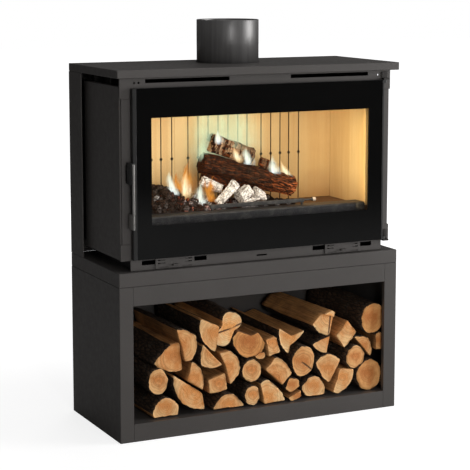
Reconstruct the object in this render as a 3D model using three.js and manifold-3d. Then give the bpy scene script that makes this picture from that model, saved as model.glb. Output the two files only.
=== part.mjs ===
// Wood burning stove on a log store.
//
// Millimetres, +Z up. The origin is on the floor, under the middle of the body: +X is to the right of
// someone facing the door, +Y runs from the door to the back.
// The body is a steel firebox lined with vermiculite boards, in a folded casing with air gaps round it.
// It stands on a bench slab over an open log store. The door, its latch handle and the two air slides move.

import * as THREE from 'three';
import { ConvexGeometry } from 'three/addons/geometries/ConvexGeometry.js';
import { mergeVertices } from 'three/addons/utils/BufferGeometryUtils.js';
import Module from 'manifold-3d';

const wasm = await Module();
wasm.setup();

// ---------------------------------------------------------------- driving dimensions

const WIDTH = 872;
const DEPTH = 372;
const HALF = WIDTH / 2;
const FRONT = -DEPTH / 2;
const BACK = DEPTH / 2;
const GAP = 0.3; // clearance between pieces that rest on each other
const SHEET = 3; // folded casing sheet
const EDGE = 1.2; // broken edge of the thick plates

// log store
const STORE_TOP = 432;
const STORE_STILE = 40;
const STORE_FLOOR_TOP = 50;
const STORE_HEADER_BOTTOM = 379;
const STORE_INNER = HALF - STORE_STILE;

// bench slab and top plate
const SLAB_BOTTOM = STORE_TOP + GAP;
const SLAB_TOP = 471;
const BODY_BOTTOM = SLAB_TOP + GAP;
const PLATE_BOTTOM = 996;
const PLATE_TOP = 1018;
const BODY_TOP = PLATE_BOTTOM - GAP;

// casing
const COVER_FLANGE_FRONT = 90; // front edge of the rear cover's side flanges
const PANEL_FACE = 420; // outer face of a side panel
const PANEL_THICKNESS = 15;
const PANEL_BACK = 105;
const PANEL_BOTTOM = 501;
const PANEL_TOP = 973;

// front frame
const FRAME_FRONT = -162;
const FRAME_BACK = -157;
const FRAME_HALF = 416;
const TAB_HALF = 420.5;
const FRAME_BOTTOM = 500;
const LOWER_TAB_TOP = 545;
const UPPER_TAB_BOTTOM = 940;
const MOUTH_HALF = 352; // the way into the firebox
const MOUTH_BOTTOM = 578;
const MOUTH_TOP = 905;

// firebox
const BOX_FRONT = FRAME_BACK + GAP;
const BOX_HALF = 380;
const BOX_WALL = 5;
const BOX_INNER = BOX_HALF - BOX_WALL;
const BOX_BACK = 150;
const BOX_BACK_INNER = BOX_BACK - BOX_WALL;
const BOX_BOTTOM = FRAME_BOTTOM;
const BOX_TOP = 970;
const LINING_FRONT = -150;
const LINING_SIDE = 347; // face of a side board
const LINING_BACK = 60; // face of the back boards
const BOARD = 25;
const LINING_TOP = 899.7;
const HEARTH_TOP = 603;
const HEARTH_BOTTOM = HEARTH_TOP - BOARD;

// flue
const FLUE_Y = 48;
const FLUE_RADIUS = 90;
const FLUE_TOP = 1140;

// door
const DOOR_LEFT = -391;
const DOOR_RIGHT = 390;
const DOOR_BOTTOM = 503;
const DOOR_TOP = 968;
const DOOR_FRONT = -181;
const DOOR_BACK = -167.3;
const HINGE_X = 397;
const HINGE_Y = -171;

// latch handle
const LATCH_X = -398.5;
const LATCH_Z = 752;

// air slides
const SLIDE_CENTRE = 264;
const SLIDE_HALF = 58;

// ---------------------------------------------------------------- geometry helpers

function block(x0, x1, y0, y1, z0, z1) {
  const geometry = new THREE.BoxGeometry(Math.abs(x1 - x0), Math.abs(y1 - y0), Math.abs(z1 - z0));
  return geometry.translate((x0 + x1) / 2, (y0 + y1) / 2, (z0 + z1) / 2);
}

// A block whose twelve edges are broken by c.
function softBlock(x0, x1, y0, y1, z0, z1, c = EDGE) {
  const points = [];
  for (const [xs, ys, zs] of [[0, c, c], [c, 0, c], [c, c, 0]]) {
    for (const x of [x0 + xs, x1 - xs]) {
      for (const y of [y0 + ys, y1 - ys]) {
        for (const z of [z0 + zs, z1 - zs]) {
          points.push(new THREE.Vector3(x, y, z));
        }
      }
    }
  }
  return new ConvexGeometry(points);
}

function shapeOf(points) {
  return new THREE.Shape(points.map(([u, v]) => new THREE.Vector2(u, v)));
}

function extrude(shape, depth) {
  return new THREE.ExtrudeGeometry(shape, { depth, bevelEnabled: false, curveSegments: 6 });
}

// Outline of [x, y] points, from z0 to z1.
function prismZ(points, z0, z1) {
  return extrude(shapeOf(points), z1 - z0).translate(0, 0, z0);
}

// Outline of [y, z] points, from x0 to x1.
function prismX(points, x0, x1) {
  const turn = new THREE.Matrix4().makeBasis(
    new THREE.Vector3(0, 1, 0), new THREE.Vector3(0, 0, 1), new THREE.Vector3(1, 0, 0));
  return extrude(shapeOf(points), x1 - x0).applyMatrix4(turn).translate(x0, 0, 0);
}

// Outline of [x, z] points, from y0 to y1.
function prismY(points, y0, y1) {
  const turn = new THREE.Matrix4().makeBasis(
    new THREE.Vector3(0, 0, 1), new THREE.Vector3(1, 0, 0), new THREE.Vector3(0, 1, 0));
  const swapped = points.map(([x, z]) => [z, x]);
  return extrude(shapeOf(swapped), y1 - y0).applyMatrix4(turn).translate(0, y0, 0);
}

// A round bar between two points.
function bar(from, to, radius, sides = 12) {
  const a = new THREE.Vector3(...from);
  const b = new THREE.Vector3(...to);
  const geometry = new THREE.CylinderGeometry(radius, radius, a.distanceTo(b), sides);
  const along = b.clone().sub(a).normalize();
  geometry.applyQuaternion(new THREE.Quaternion().setFromUnitVectors(new THREE.Vector3(0, 1, 0), along));
  return geometry.translate(...a.add(b).multiplyScalar(0.5).toArray());
}

function solid(geometry) {
  const bare = geometry.clone();
  bare.deleteAttribute('normal');
  bare.deleteAttribute('uv');
  const merged = mergeVertices(bare, 1e-4);
  return new wasm.Manifold(new wasm.Mesh({
    numProp: 3,
    vertProperties: new Float32Array(merged.attributes.position.array),
    triVerts: new Uint32Array(merged.index.array),
  }));
}

function fromSolid(body) {
  const mesh = body.getMesh();
  const geometry = new THREE.BufferGeometry();
  geometry.setAttribute('position', new THREE.BufferAttribute(new Float32Array(mesh.vertProperties), 3));
  geometry.setIndex(new THREE.BufferAttribute(new Uint32Array(mesh.triVerts), 1));
  return geometry;
}

function joined(...geometries) {
  return geometries.map(solid).reduce((body, next) => body.add(next));
}

function cut(geometry, ...tools) {
  return fromSolid(tools.map(solid).reduce((body, tool) => body.subtract(tool), solid(geometry)));
}

function join(...geometries) {
  return fromSolid(joined(...geometries));
}

// ---------------------------------------------------------------- materials

function finish(color, roughness, metalness) {
  return () => new THREE.MeshStandardMaterial({ color, roughness, metalness });
}

const anthracitePaint = finish(0x54504c, 0.6, 0.2);
const blackPaint = finish(0x1c1b1a, 0.45, 0.2);
const blackGlass = finish(0x141414, 0.06, 0.0);
const pipePaint = finish(0x3d3a38, 0.35, 0.5);
const bareSteel = finish(0x3a3836, 0.6, 0.6);
const stainless = finish(0x8c8a86, 0.3, 1.0);
const castIron = finish(0x2b2a2a, 0.7, 0.5);
const vermiculite = finish(0xe8c890, 0.9, 0.0);
const ropeSeal = finish(0x3c3c3a, 1.0, 0.0);
const firewood = finish(0xc98a4a, 0.85, 0.0);
const charred = finish(0x3a2116, 0.95, 0.0);
const embers = finish(0x3f3a36, 1.0, 0.0);

const stove = new THREE.Group();

function add(name, geometry, material) {
  const mesh = new THREE.Mesh(geometry, material());
  mesh.name = name;
  stove.add(mesh);
}

const SIDES = [['left', -1], ['right', 1]];

// ---------------------------------------------------------------- log store

// Each side is one folded sheet: the side itself, the 40 mm front face and a lip turned back from it.
const STORE_BACK_FACE = BACK - SHEET - GAP;
const STORE_WALL = HALF - SHEET; // inner face of a side
const LIP_END = FRONT + 14;
for (const [name, s] of SIDES) {
  const profile = [
    [HALF, STORE_BACK_FACE], [HALF, FRONT + EDGE], [HALF - EDGE, FRONT], [STORE_INNER, FRONT],
    [STORE_INNER, LIP_END], [STORE_INNER + SHEET, LIP_END], [STORE_INNER + SHEET, FRONT + SHEET],
    [STORE_WALL, FRONT + SHEET], [STORE_WALL, STORE_BACK_FACE],
  ].map(([x, y]) => [s * x, y]);
  add(`store_${name}_side`, prismZ(profile, 0, STORE_TOP), anthracitePaint);
}

// The floor and the header are boxes, open at the back and the ends. Their front faces fit between the
// lips of the sides, and their sheets reach the sides behind the lips.
function storeBox(z0, z1) {
  const face = STORE_INNER - GAP;
  const reach = STORE_WALL - GAP;
  const behindLip = LIP_END + GAP;
  const plan = [
    [-face, FRONT], [face, FRONT], [face, behindLip], [reach, behindLip], [reach, STORE_BACK_FACE],
    [-reach, STORE_BACK_FACE], [-reach, behindLip], [-face, behindLip],
  ];
  return join(
    prismZ(plan, z0, z0 + SHEET), prismZ(plan, z1 - SHEET, z1),
    block(-face, face, FRONT, FRONT + SHEET, z0, z1));
}
add('store_floor', storeBox(0, STORE_FLOOR_TOP), anthracitePaint);
add('store_header', storeBox(STORE_HEADER_BOTTOM, STORE_TOP), anthracitePaint);
add('store_back', block(-HALF, HALF, BACK - SHEET, BACK, 0, STORE_TOP), anthracitePaint);

// ---------------------------------------------------------------- bench slab and top plate

const SLAB_SKIN = 4;
add('bench_slab', cut(
  softBlock(-HALF, HALF, FRONT, BACK, SLAB_BOTTOM, SLAB_TOP),
  block(-HALF + SLAB_SKIN, HALF - SLAB_SKIN, FRONT + SLAB_SKIN, BACK - SLAB_SKIN,
    SLAB_BOTTOM - SLAB_SKIN, SLAB_TOP - SLAB_SKIN),
), anthracitePaint);

const PLATE_HOLE_RADIUS = FLUE_RADIUS + 2;
add('top_plate', cut(
  softBlock(-HALF, HALF, FRONT, BACK, PLATE_BOTTOM, PLATE_TOP),
  bar([0, FLUE_Y, PLATE_BOTTOM - 1], [0, FLUE_Y, PLATE_TOP + 1], PLATE_HOLE_RADIUS, 48),
), anthracitePaint);

// ---------------------------------------------------------------- casing

const coverProfile = [
  [-HALF, COVER_FLANGE_FRONT], [-HALF, BACK], [HALF, BACK], [HALF, COVER_FLANGE_FRONT],
  [HALF - SHEET, COVER_FLANGE_FRONT], [HALF - SHEET, BACK - SHEET],
  [-HALF + SHEET, BACK - SHEET], [-HALF + SHEET, COVER_FLANGE_FRONT],
];
add('rear_cover', prismZ(coverProfile, BODY_BOTTOM, BODY_TOP), anthracitePaint);

// A side panel is a shallow tray, open towards the firebox.
const PANEL_SKIN = 2.5;
for (const [name, s] of SIDES) {
  add(`${name}_side_panel`, cut(
    softBlock(...[s * PANEL_FACE, s * (PANEL_FACE - PANEL_THICKNESS)].sort((a, b) => a - b),
      BOX_FRONT, PANEL_BACK, PANEL_BOTTOM, PANEL_TOP, 1),
    block(s * (PANEL_FACE - PANEL_SKIN), s * (PANEL_FACE - PANEL_THICKNESS - 1),
      BOX_FRONT + PANEL_SKIN, PANEL_BACK - PANEL_SKIN, PANEL_BOTTOM + PANEL_SKIN, PANEL_TOP - PANEL_SKIN),
  ), anthracitePaint);
}

// The plinth carries the firebox and takes room air in behind the fascia.
const PLINTH_BACK = 140;
add('air_plinth', cut(
  block(-BOX_HALF, BOX_HALF, FRAME_FRONT, PLINTH_BACK, BODY_BOTTOM, FRAME_BOTTOM - GAP),
  block(-BOX_HALF + SHEET, BOX_HALF - SHEET, FRAME_FRONT - 1, PLINTH_BACK - SHEET,
    BODY_BOTTOM + SHEET, FRAME_BOTTOM - GAP - SHEET),
), blackPaint);

// ---------------------------------------------------------------- air fascia and slides

const FASCIA_HALF = 394;
const FASCIA_BOTTOM = 471.6;
const FASCIA_TOP = 502.6;
const FASCIA_BACK = FRAME_FRONT - GAP;
const FASCIA_FRONT = FASCIA_BACK - SHEET;
const INLET_NEAR = 42; // inlet windows, each side of a slide's middle
const INLET_FAR = 97;
const INLET_BOTTOM = 486;
const INLET_TOP = 499;
const inlets = [];
for (const centre of [-SLIDE_CENTRE, SLIDE_CENTRE]) {
  for (const s of [-1, 1]) {
    inlets.push(block(centre + s * INLET_NEAR, centre + s * INLET_FAR,
      FASCIA_FRONT - 1, FASCIA_BACK + 1, INLET_BOTTOM, INLET_TOP));
  }
}
const fasciaNotch = block(-12, 20, FASCIA_FRONT - 1, FASCIA_BACK + 1, 484, 488);
add('air_fascia', cut(
  block(-FASCIA_HALF, FASCIA_HALF, FASCIA_FRONT, FASCIA_BACK, FASCIA_BOTTOM, FASCIA_TOP),
  ...inlets, fasciaNotch,
), anthracitePaint);

// A slide is a plate over two inlet windows, with cooling slits and a finger tab.
const SLIDE_BACK = FASCIA_FRONT - GAP;
const SLIDE_FRONT = SLIDE_BACK - SHEET;
const SLIDE_BOTTOM = 472.5;
const SLIDE_TOP = 501.5;
const TAB_FRONT = -178;
const SLIT_HEIGHT = 3;
for (const [name, s] of [['primary', -1], ['secondary', 1]]) {
  const centre = s * SLIDE_CENTRE;
  const plate = join(
    block(centre - SLIDE_HALF, centre + SLIDE_HALF, SLIDE_FRONT, SLIDE_BACK, SLIDE_BOTTOM, SLIDE_TOP),
    softBlock(centre - 9, centre + 9, TAB_FRONT, SLIDE_FRONT + 1, 480, 484, 0.8));
  const slits = [];
  for (const side of [-1, 1]) {
    for (const z of [488, 496]) {
      slits.push(block(centre + side * 30, centre + side * 51,
        SLIDE_FRONT - 1, SLIDE_BACK + 1, z - SLIT_HEIGHT / 2, z + SLIT_HEIGHT / 2));
    }
    slits.push(block(centre + side * 21, centre + side * 50,
      SLIDE_FRONT - 1, SLIDE_BACK + 1, 474.5, 474.5 + SLIT_HEIGHT));
  }
  add(`${name}_air_slide`, cut(plate, ...slits), anthracitePaint);
}

// ---------------------------------------------------------------- front frame

const FRAME_HOLES = [-378, -365, 380];
const holesInRail = FRAME_HOLES.map((x) => bar([x, FRAME_FRONT - 1, 982], [x, FRAME_BACK + 1, 982], 3, 10));
const WARM_AIR_SLOT = { near: 95, far: 346, bottom: 981, top: 991 };
for (const s of [-1, 1]) {
  holesInRail.push(block(s * WARM_AIR_SLOT.near, s * WARM_AIR_SLOT.far,
    FRAME_FRONT - 1, FRAME_BACK + 1, WARM_AIR_SLOT.bottom, WARM_AIR_SLOT.top));
}
const topRailOutline = [
  [-TAB_HALF, UPPER_TAB_BOTTOM], [-TAB_HALF, BODY_TOP], [TAB_HALF, BODY_TOP], [TAB_HALF, UPPER_TAB_BOTTOM],
  [MOUTH_HALF, UPPER_TAB_BOTTOM], [MOUTH_HALF, MOUTH_TOP],
  [-MOUTH_HALF, MOUTH_TOP], [-MOUTH_HALF, UPPER_TAB_BOTTOM],
];
add('frame_top_rail', cut(prismY(topRailOutline, FRAME_FRONT, FRAME_BACK), ...holesInRail), anthracitePaint);

const bottomRailOutline = [
  [-TAB_HALF, FRAME_BOTTOM], [-TAB_HALF, LOWER_TAB_TOP], [-MOUTH_HALF, LOWER_TAB_TOP],
  [-MOUTH_HALF, MOUTH_BOTTOM], [MOUTH_HALF, MOUTH_BOTTOM], [MOUTH_HALF, LOWER_TAB_TOP],
  [TAB_HALF, LOWER_TAB_TOP], [TAB_HALF, FRAME_BOTTOM],
];
add('frame_bottom_rail', prismY(bottomRailOutline, FRAME_FRONT, FRAME_BACK), anthracitePaint);

const LATCH_SLOT_HALF = 6;
const latchSlot = block(LATCH_X - LATCH_SLOT_HALF, LATCH_X + LATCH_SLOT_HALF,
  FRAME_FRONT - 1, FRAME_BACK + 1, LATCH_Z - 40, LATCH_Z + 10);
const stileBlock = (s) => block(s * (MOUTH_HALF + GAP), s * FRAME_HALF,
  FRAME_FRONT, FRAME_BACK, LOWER_TAB_TOP + GAP, UPPER_TAB_BOTTOM - GAP);
add('frame_left_stile', cut(stileBlock(-1), latchSlot), anthracitePaint);
add('frame_right_stile', stileBlock(1), anthracitePaint);

// ---------------------------------------------------------------- firebox shell

// Each side wall reaches up to the top plate, and has two ribs that the side panel is screwed to.
const RIB_REACH = PANEL_FACE - PANEL_THICKNESS - GAP;
for (const [name, s] of SIDES) {
  const profile = [
    [BOX_INNER, BOX_FRONT], [BOX_INNER, BOX_BACK], [BOX_HALF, BOX_BACK],
    [BOX_HALF, 64], [RIB_REACH, 64], [RIB_REACH, 60], [BOX_HALF, 60],
    [BOX_HALF, -56], [RIB_REACH, -56], [RIB_REACH, -60], [BOX_HALF, -60], [BOX_HALF, BOX_FRONT],
  ].map(([x, y]) => [s * x, y]);
  add(`firebox_${name}_wall`, prismZ(profile, BOX_BOTTOM, BODY_TOP), bareSteel);
}
const BETWEEN_WALLS = BOX_INNER - GAP;
add('firebox_back_wall',
  block(-BETWEEN_WALLS, BETWEEN_WALLS, BOX_BACK_INNER, BOX_BACK, BOX_BOTTOM, BOX_TOP), bareSteel);
add('firebox_floor',
  block(-BETWEEN_WALLS, BETWEEN_WALLS, BOX_FRONT, BOX_BACK_INNER - GAP, BOX_BOTTOM, BOX_BOTTOM + BOX_WALL),
  bareSteel);

const SPIGOT_BORE = 84;
add('firebox_roof', cut(
  block(-BETWEEN_WALLS, BETWEEN_WALLS, BOX_FRONT, BOX_BACK_INNER - GAP, BOX_TOP - BOX_WALL, BOX_TOP),
  bar([0, FLUE_Y, BOX_TOP - BOX_WALL - 1], [0, FLUE_Y, BOX_TOP + 1], SPIGOT_BORE, 36),
), bareSteel);

// ---------------------------------------------------------------- flue

function turned(profile, segments) {
  const closed = [...profile, profile[0]].map(([r, z]) => new THREE.Vector2(r, z));
  return new THREE.LatheGeometry(closed, segments).rotateX(Math.PI / 2).translate(0, FLUE_Y, 0);
}

const PIPE_BOTTOM = PLATE_BOTTOM + 3;
const BEAD_RADIUS = FLUE_RADIUS + 0.5;
const SPIGOT_RADIUS = 87.5;
add('flue_spigot', turned([
  [SPIGOT_BORE, BOX_TOP + GAP], [104, BOX_TOP + GAP], [104, BOX_TOP + 4], [SPIGOT_RADIUS, BOX_TOP + 4],
  [SPIGOT_RADIUS, PIPE_BOTTOM - 6], [BEAD_RADIUS, PIPE_BOTTOM - 4], [BEAD_RADIUS, PIPE_BOTTOM - GAP],
  [SPIGOT_RADIUS, PIPE_BOTTOM - GAP], [SPIGOT_RADIUS, 1040], [SPIGOT_BORE, 1040],
], 36), bareSteel);
add('flue_pipe', turned([
  [FLUE_RADIUS - 2, PIPE_BOTTOM], [FLUE_RADIUS, PIPE_BOTTOM], [FLUE_RADIUS, FLUE_TOP],
  [FLUE_RADIUS - 2, FLUE_TOP],
], 48), pipePaint);

// ---------------------------------------------------------------- linings, air duct and baffle

for (const [name, s] of SIDES) {
  add(`lining_${name}`, block(s * LINING_SIDE, s * (BOX_INNER - GAP),
    LINING_FRONT, LINING_BACK - GAP, HEARTH_BOTTOM, LINING_TOP), vermiculite);
}

// The three back boards are grooved from top to bottom, with a row of air holes in the grooves.
const GROOVE_HALF = 1.7;
const GROOVE_DEPTH = 5;
const AIR_HOLE_Z = 743;
const AIR_HOLE_RADIUS = 3.6;
const BACK_FACE = LINING_BACK + BOARD;
const backBoards = {
  left: { from: -BETWEEN_WALLS, to: -163.2, grooves: [-236, -206, -172], holes: [-236, -206, -172] },
  centre: { from: -162.8, to: 94.8, grooves: [-121, -89, -57, -25, 7, 39, 69], holes: [-121, -89] },
  right: { from: 95.2, to: BETWEEN_WALLS, grooves: [115, 147, 178, 207, 240],
    holes: [115, 147, 178, 207, 240] },
};
const airHoles = [];
for (const [name, board] of Object.entries(backBoards)) {
  const face = [[board.from, LINING_BACK]];
  for (const x of board.grooves) {
    face.push([x - GROOVE_HALF, LINING_BACK], [x - GROOVE_HALF / 2, LINING_BACK + GROOVE_DEPTH],
      [x + GROOVE_HALF / 2, LINING_BACK + GROOVE_DEPTH], [x + GROOVE_HALF, LINING_BACK]);
  }
  face.push([board.to, LINING_BACK], [board.to, BACK_FACE], [board.from, BACK_FACE]);
  const holes = board.holes.map((x) => bar(
    [x, LINING_BACK - 1, AIR_HOLE_Z], [x, BACK_FACE + 10, AIR_HOLE_Z], AIR_HOLE_RADIUS, 10));
  airHoles.push(...holes);
  add(`lining_back_${name}`, cut(prismZ(face, HEARTH_TOP + GAP, LINING_TOP), ...holes), vermiculite);
}

// The duct behind the back boards warms the air that leaves through the holes.
const DUCT_TOP = 896;
add('air_duct', cut(
  block(-BETWEEN_WALLS, BETWEEN_WALLS, BACK_FACE + GAP, BOX_BACK_INNER - GAP,
    BOX_BOTTOM + BOX_WALL + GAP, DUCT_TOP),
  block(-BETWEEN_WALLS + SHEET, BETWEEN_WALLS - SHEET, BACK_FACE + GAP + SHEET, BOX_BACK,
    BOX_BOTTOM, DUCT_TOP - SHEET),
  ...airHoles,
), bareSteel);

const BAFFLE_FRONT = -70;
add('baffle_board', block(-BETWEEN_WALLS, BETWEEN_WALLS, BAFFLE_FRONT, BOX_BACK_INNER - GAP,
  LINING_TOP + GAP, LINING_TOP + GAP + BOARD), vermiculite);

// ---------------------------------------------------------------- hearth, grate and ash pan

const SUPPORT_TOP = HEARTH_BOTTOM - GAP;
const SUPPORT_FOOT = BOX_BOTTOM + BOX_WALL + GAP;
const PAN_BAY = 155;
for (const [name, s] of SIDES) {
  const profile = [
    [142, SUPPORT_TOP], [BETWEEN_WALLS, SUPPORT_TOP], [BETWEEN_WALLS, SUPPORT_FOOT],
    [BETWEEN_WALLS - SHEET, SUPPORT_FOOT], [BETWEEN_WALLS - SHEET, SUPPORT_TOP - SHEET],
    [PAN_BAY + SHEET, SUPPORT_TOP - SHEET], [PAN_BAY + SHEET, SUPPORT_FOOT], [PAN_BAY, SUPPORT_FOOT],
    [PAN_BAY, SUPPORT_TOP - SHEET], [142, SUPPORT_TOP - SHEET],
  ].map(([x, z]) => [s * x, z]);
  add(`hearth_support_${name}`, prismY(profile, BOX_FRONT + GAP, BACK_FACE), bareSteel);
}

const GRATE_HALF = 150;
for (const [name, s] of SIDES) {
  add(`hearth_board_${name}`, block(s * (GRATE_HALF + GAP), s * (LINING_SIDE - GAP),
    LINING_FRONT, BACK_FACE, HEARTH_BOTTOM, HEARTH_TOP), vermiculite);
}

const GRATE_SLOT = { count: 12, pitch: 22, width: 11, from: -92, to: 48 };
const grateCuts = [block(-138, 138, GRATE_SLOT.from - 4, GRATE_SLOT.to + 4, HEARTH_BOTTOM - 1, 591)];
for (let i = 0; i < GRATE_SLOT.count; i += 1) {
  const x = (i - (GRATE_SLOT.count - 1) / 2) * GRATE_SLOT.pitch;
  grateCuts.push(block(x - GRATE_SLOT.width / 2, x + GRATE_SLOT.width / 2,
    GRATE_SLOT.from, GRATE_SLOT.to, 590, HEARTH_TOP + 1));
}
add('grate', cut(
  block(-GRATE_HALF, GRATE_HALF, LINING_FRONT, BACK_FACE, HEARTH_BOTTOM, HEARTH_TOP), ...grateCuts,
), castIron);

const PAN_TOP = 555;
add('ash_pan', cut(
  block(-148, 148, -120, 70, SUPPORT_FOOT, PAN_TOP),
  block(-146, 146, -118, 68, SUPPORT_FOOT + 2, PAN_TOP + 1),
), bareSteel);

// The ledge keeps embers off the glass, and its skirt hangs down in front of the hearth.
const LEDGE_TOP = 614;
const LEDGE_FRONT = -156;
const ledgeOutline = [
  [LINING_FRONT - GAP, HEARTH_TOP + GAP], [LINING_FRONT - GAP, 580], [LEDGE_FRONT, 580],
  [LEDGE_FRONT, LEDGE_TOP - 4], [LEDGE_FRONT + 4, LEDGE_TOP], [-104, LEDGE_TOP], [-100, LEDGE_TOP - 4],
  [-100, HEARTH_TOP + GAP],
];
add('front_ledge', prismX(ledgeOutline, -343, 343), castIron);

// The guard rail on the ledge stops a log from rolling forward. It ends in a pin with a knob.
const GUARD_Y = -118;
const GUARD_HALF = 4;
const GUARD_BOTTOM = 620;
const GUARD_TOP = 631;
const GUARD_LEFT = -135;
const GUARD_RIGHT = 163;
const GUARD_PIN_Z = 626.5;
const GUARD_LEGS = [-128, 156];
const GUARD_KNOB = 6; // radius of the knob
const guardLegs = GUARD_LEGS.map((x) => bar(
  [x, GUARD_Y, LEDGE_TOP + GAP], [x, GUARD_Y, GUARD_BOTTOM + 2], 3.4, 8));
add('log_guard', join(
  softBlock(GUARD_LEFT, GUARD_RIGHT, GUARD_Y - GUARD_HALF, GUARD_Y + GUARD_HALF, GUARD_BOTTOM, GUARD_TOP, 1),
  bar([GUARD_RIGHT - 2, GUARD_Y, GUARD_PIN_Z], [GUARD_RIGHT + 29, GUARD_Y, GUARD_PIN_Z], 3, 8),
  bar([GUARD_RIGHT + 27, GUARD_Y, GUARD_PIN_Z], [GUARD_RIGHT + 37, GUARD_Y, GUARD_PIN_Z], GUARD_KNOB, 10),
  ...guardLegs,
), castIron);

// ---------------------------------------------------------------- door

// The stiles are folded with a groove that holds the glass, and a lip in front of it.
const LIP_BACK = -179.8;
const GROOVE_BACK = -173;
const WINDOW_HALF = 345;
const leftStile = [
  [DOOR_LEFT, DOOR_BACK], [DOOR_LEFT, DOOR_FRONT + 1], [DOOR_LEFT + 1, DOOR_FRONT], [-380, DOOR_FRONT],
  [-380, LIP_BACK], [-384.5, LIP_BACK], [-384.5, GROOVE_BACK], [-WINDOW_HALF, GROOVE_BACK],
  [-WINDOW_HALF, DOOR_BACK],
];
add('door_left_stile', prismZ(leftStile, DOOR_BOTTOM, DOOR_TOP), blackPaint);

const rightStile = [
  [DOOR_RIGHT, DOOR_BACK], [DOOR_RIGHT, DOOR_FRONT + 1], [DOOR_RIGHT - 1, DOOR_FRONT], [384.5, DOOR_FRONT],
  [384.5, LIP_BACK], [387, LIP_BACK], [387, GROOVE_BACK], [WINDOW_HALF, GROOVE_BACK],
  [WINDOW_HALF, DOOR_BACK],
];
const EAR_HEIGHT = 9;
const EAR_RADIUS = 6;
const PIN_RADIUS = 3;
const earBottoms = [DOOR_BOTTOM, DOOR_TOP - EAR_HEIGHT];
const ears = earBottoms.map((z) => join(
  bar([HINGE_X, HINGE_Y, z], [HINGE_X, HINGE_Y, z + EAR_HEIGHT], EAR_RADIUS, 16),
  block(388, HINGE_X, HINGE_Y - EAR_RADIUS, DOOR_BACK, z, z + EAR_HEIGHT)));
const earHoles = earBottoms.map((z) => bar(
  [HINGE_X, HINGE_Y, z - 1], [HINGE_X, HINGE_Y, z + EAR_HEIGHT + 1], PIN_RADIUS + 0.25, 16));
add('door_right_stile', cut(
  join(prismZ(rightStile, DOOR_BOTTOM, DOOR_TOP), ...ears), ...earHoles,
), blackPaint);

const RAIL_HALF = WINDOW_HALF - GAP;
const WINDOW_BOTTOM = 590;
const WINDOW_TOP = 893;
add('door_top_rail',
  block(-RAIL_HALF, RAIL_HALF, GROOVE_BACK, DOOR_BACK, WINDOW_TOP, DOOR_TOP), blackPaint);
add('door_bottom_rail',
  block(-RAIL_HALF, RAIL_HALF, GROOVE_BACK, DOOR_BACK, DOOR_BOTTOM, WINDOW_BOTTOM), blackPaint);
const GLASS_LEFT = -384;
const GLASS_RIGHT = 386.7;
const GLASS_FRONT = -179.5;
const GLASS_BACK = -175.5;
add('door_glass', softBlock(GLASS_LEFT, GLASS_RIGHT, GLASS_FRONT, GLASS_BACK,
  DOOR_BOTTOM + 0.5, DOOR_TOP - 0.5, 0.6), blackGlass);

// The rope seal is pressed between the door and the frame all round the mouth.
const sealOutline = shapeOf([[560, -368], [923, -368], [923, 368], [560, 368]]);
sealOutline.holes.push(shapeOf([[572, -356], [911, -356], [911, 356], [572, 356]]));
const SEAL_BACK = FRAME_FRONT - GAP;
const SEAL_FRONT = DOOR_BACK + GAP;
const sealTurn = new THREE.Matrix4().makeBasis(
  new THREE.Vector3(0, 0, 1), new THREE.Vector3(1, 0, 0), new THREE.Vector3(0, 1, 0));
add('door_seal', extrude(sealOutline, SEAL_BACK - SEAL_FRONT).applyMatrix4(sealTurn)
  .translate(0, SEAL_FRONT, 0), ropeSeal);

// ---------------------------------------------------------------- hinge brackets

// Each bracket is screwed to the frame, and its pin turns in an ear of the door.
const ARM_THICKNESS = 4.6;
const ARM_GAP = 0.4;
const armLeft = HINGE_X - EAR_RADIUS;
const armRight = HINGE_X + 12;
const topArm = DOOR_TOP + ARM_GAP;
add('hinge_bracket_top', join(
  block(armLeft, armRight, HINGE_Y - EAR_RADIUS, SEAL_BACK, topArm, topArm + ARM_THICKNESS),
  block(armLeft, armRight, SEAL_BACK - SHEET, SEAL_BACK, topArm, topArm + 22),
  bar([HINGE_X, HINGE_Y, DOOR_TOP - EAR_HEIGHT + 1], [HINGE_X, HINGE_Y, topArm + 1], PIN_RADIUS, 16),
), bareSteel);
const bottomArm = DOOR_BOTTOM - ARM_GAP;
add('hinge_bracket_bottom', join(
  block(FASCIA_HALF + 1, armRight + 4, HINGE_Y - EAR_RADIUS, SEAL_BACK, bottomArm - ARM_THICKNESS, bottomArm),
  block(armRight - 4, armRight + 4, SEAL_BACK - SHEET, SEAL_BACK, bottomArm - ARM_THICKNESS, 530),
  bar([HINGE_X, HINGE_Y, bottomArm - 1], [HINGE_X, HINGE_Y, DOOR_BOTTOM + EAR_HEIGHT - 1], PIN_RADIUS, 16),
), bareSteel);

// ---------------------------------------------------------------- latch handle

const LEVER_FRONT = -205.7;
const LEVER_BACK = -198.7;
const BOSS_HALF = 6;
const GRIP_TOP = 631;
add('handle_boss', cut(
  softBlock(LATCH_X - BOSS_HALF, DOOR_LEFT - GAP, LEVER_BACK + GAP, DOOR_BACK, 712, 770, 1),
  bar([LATCH_X, LEVER_BACK - 1, LATCH_Z], [LATCH_X, DOOR_BACK + 1, LATCH_Z], PIN_RADIUS + 0.3, 16),
), blackPaint);
add('handle_lever', softBlock(LATCH_X - 3.5, LATCH_X + 3.5, LEVER_FRONT, LEVER_BACK, GRIP_TOP + GAP, 768, 1),
  stainless);
add('handle_grip', softBlock(LATCH_X - 3, LATCH_X + 3, LEVER_FRONT - 0.3, -171, 590, GRIP_TOP, 1.2), stainless);

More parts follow.
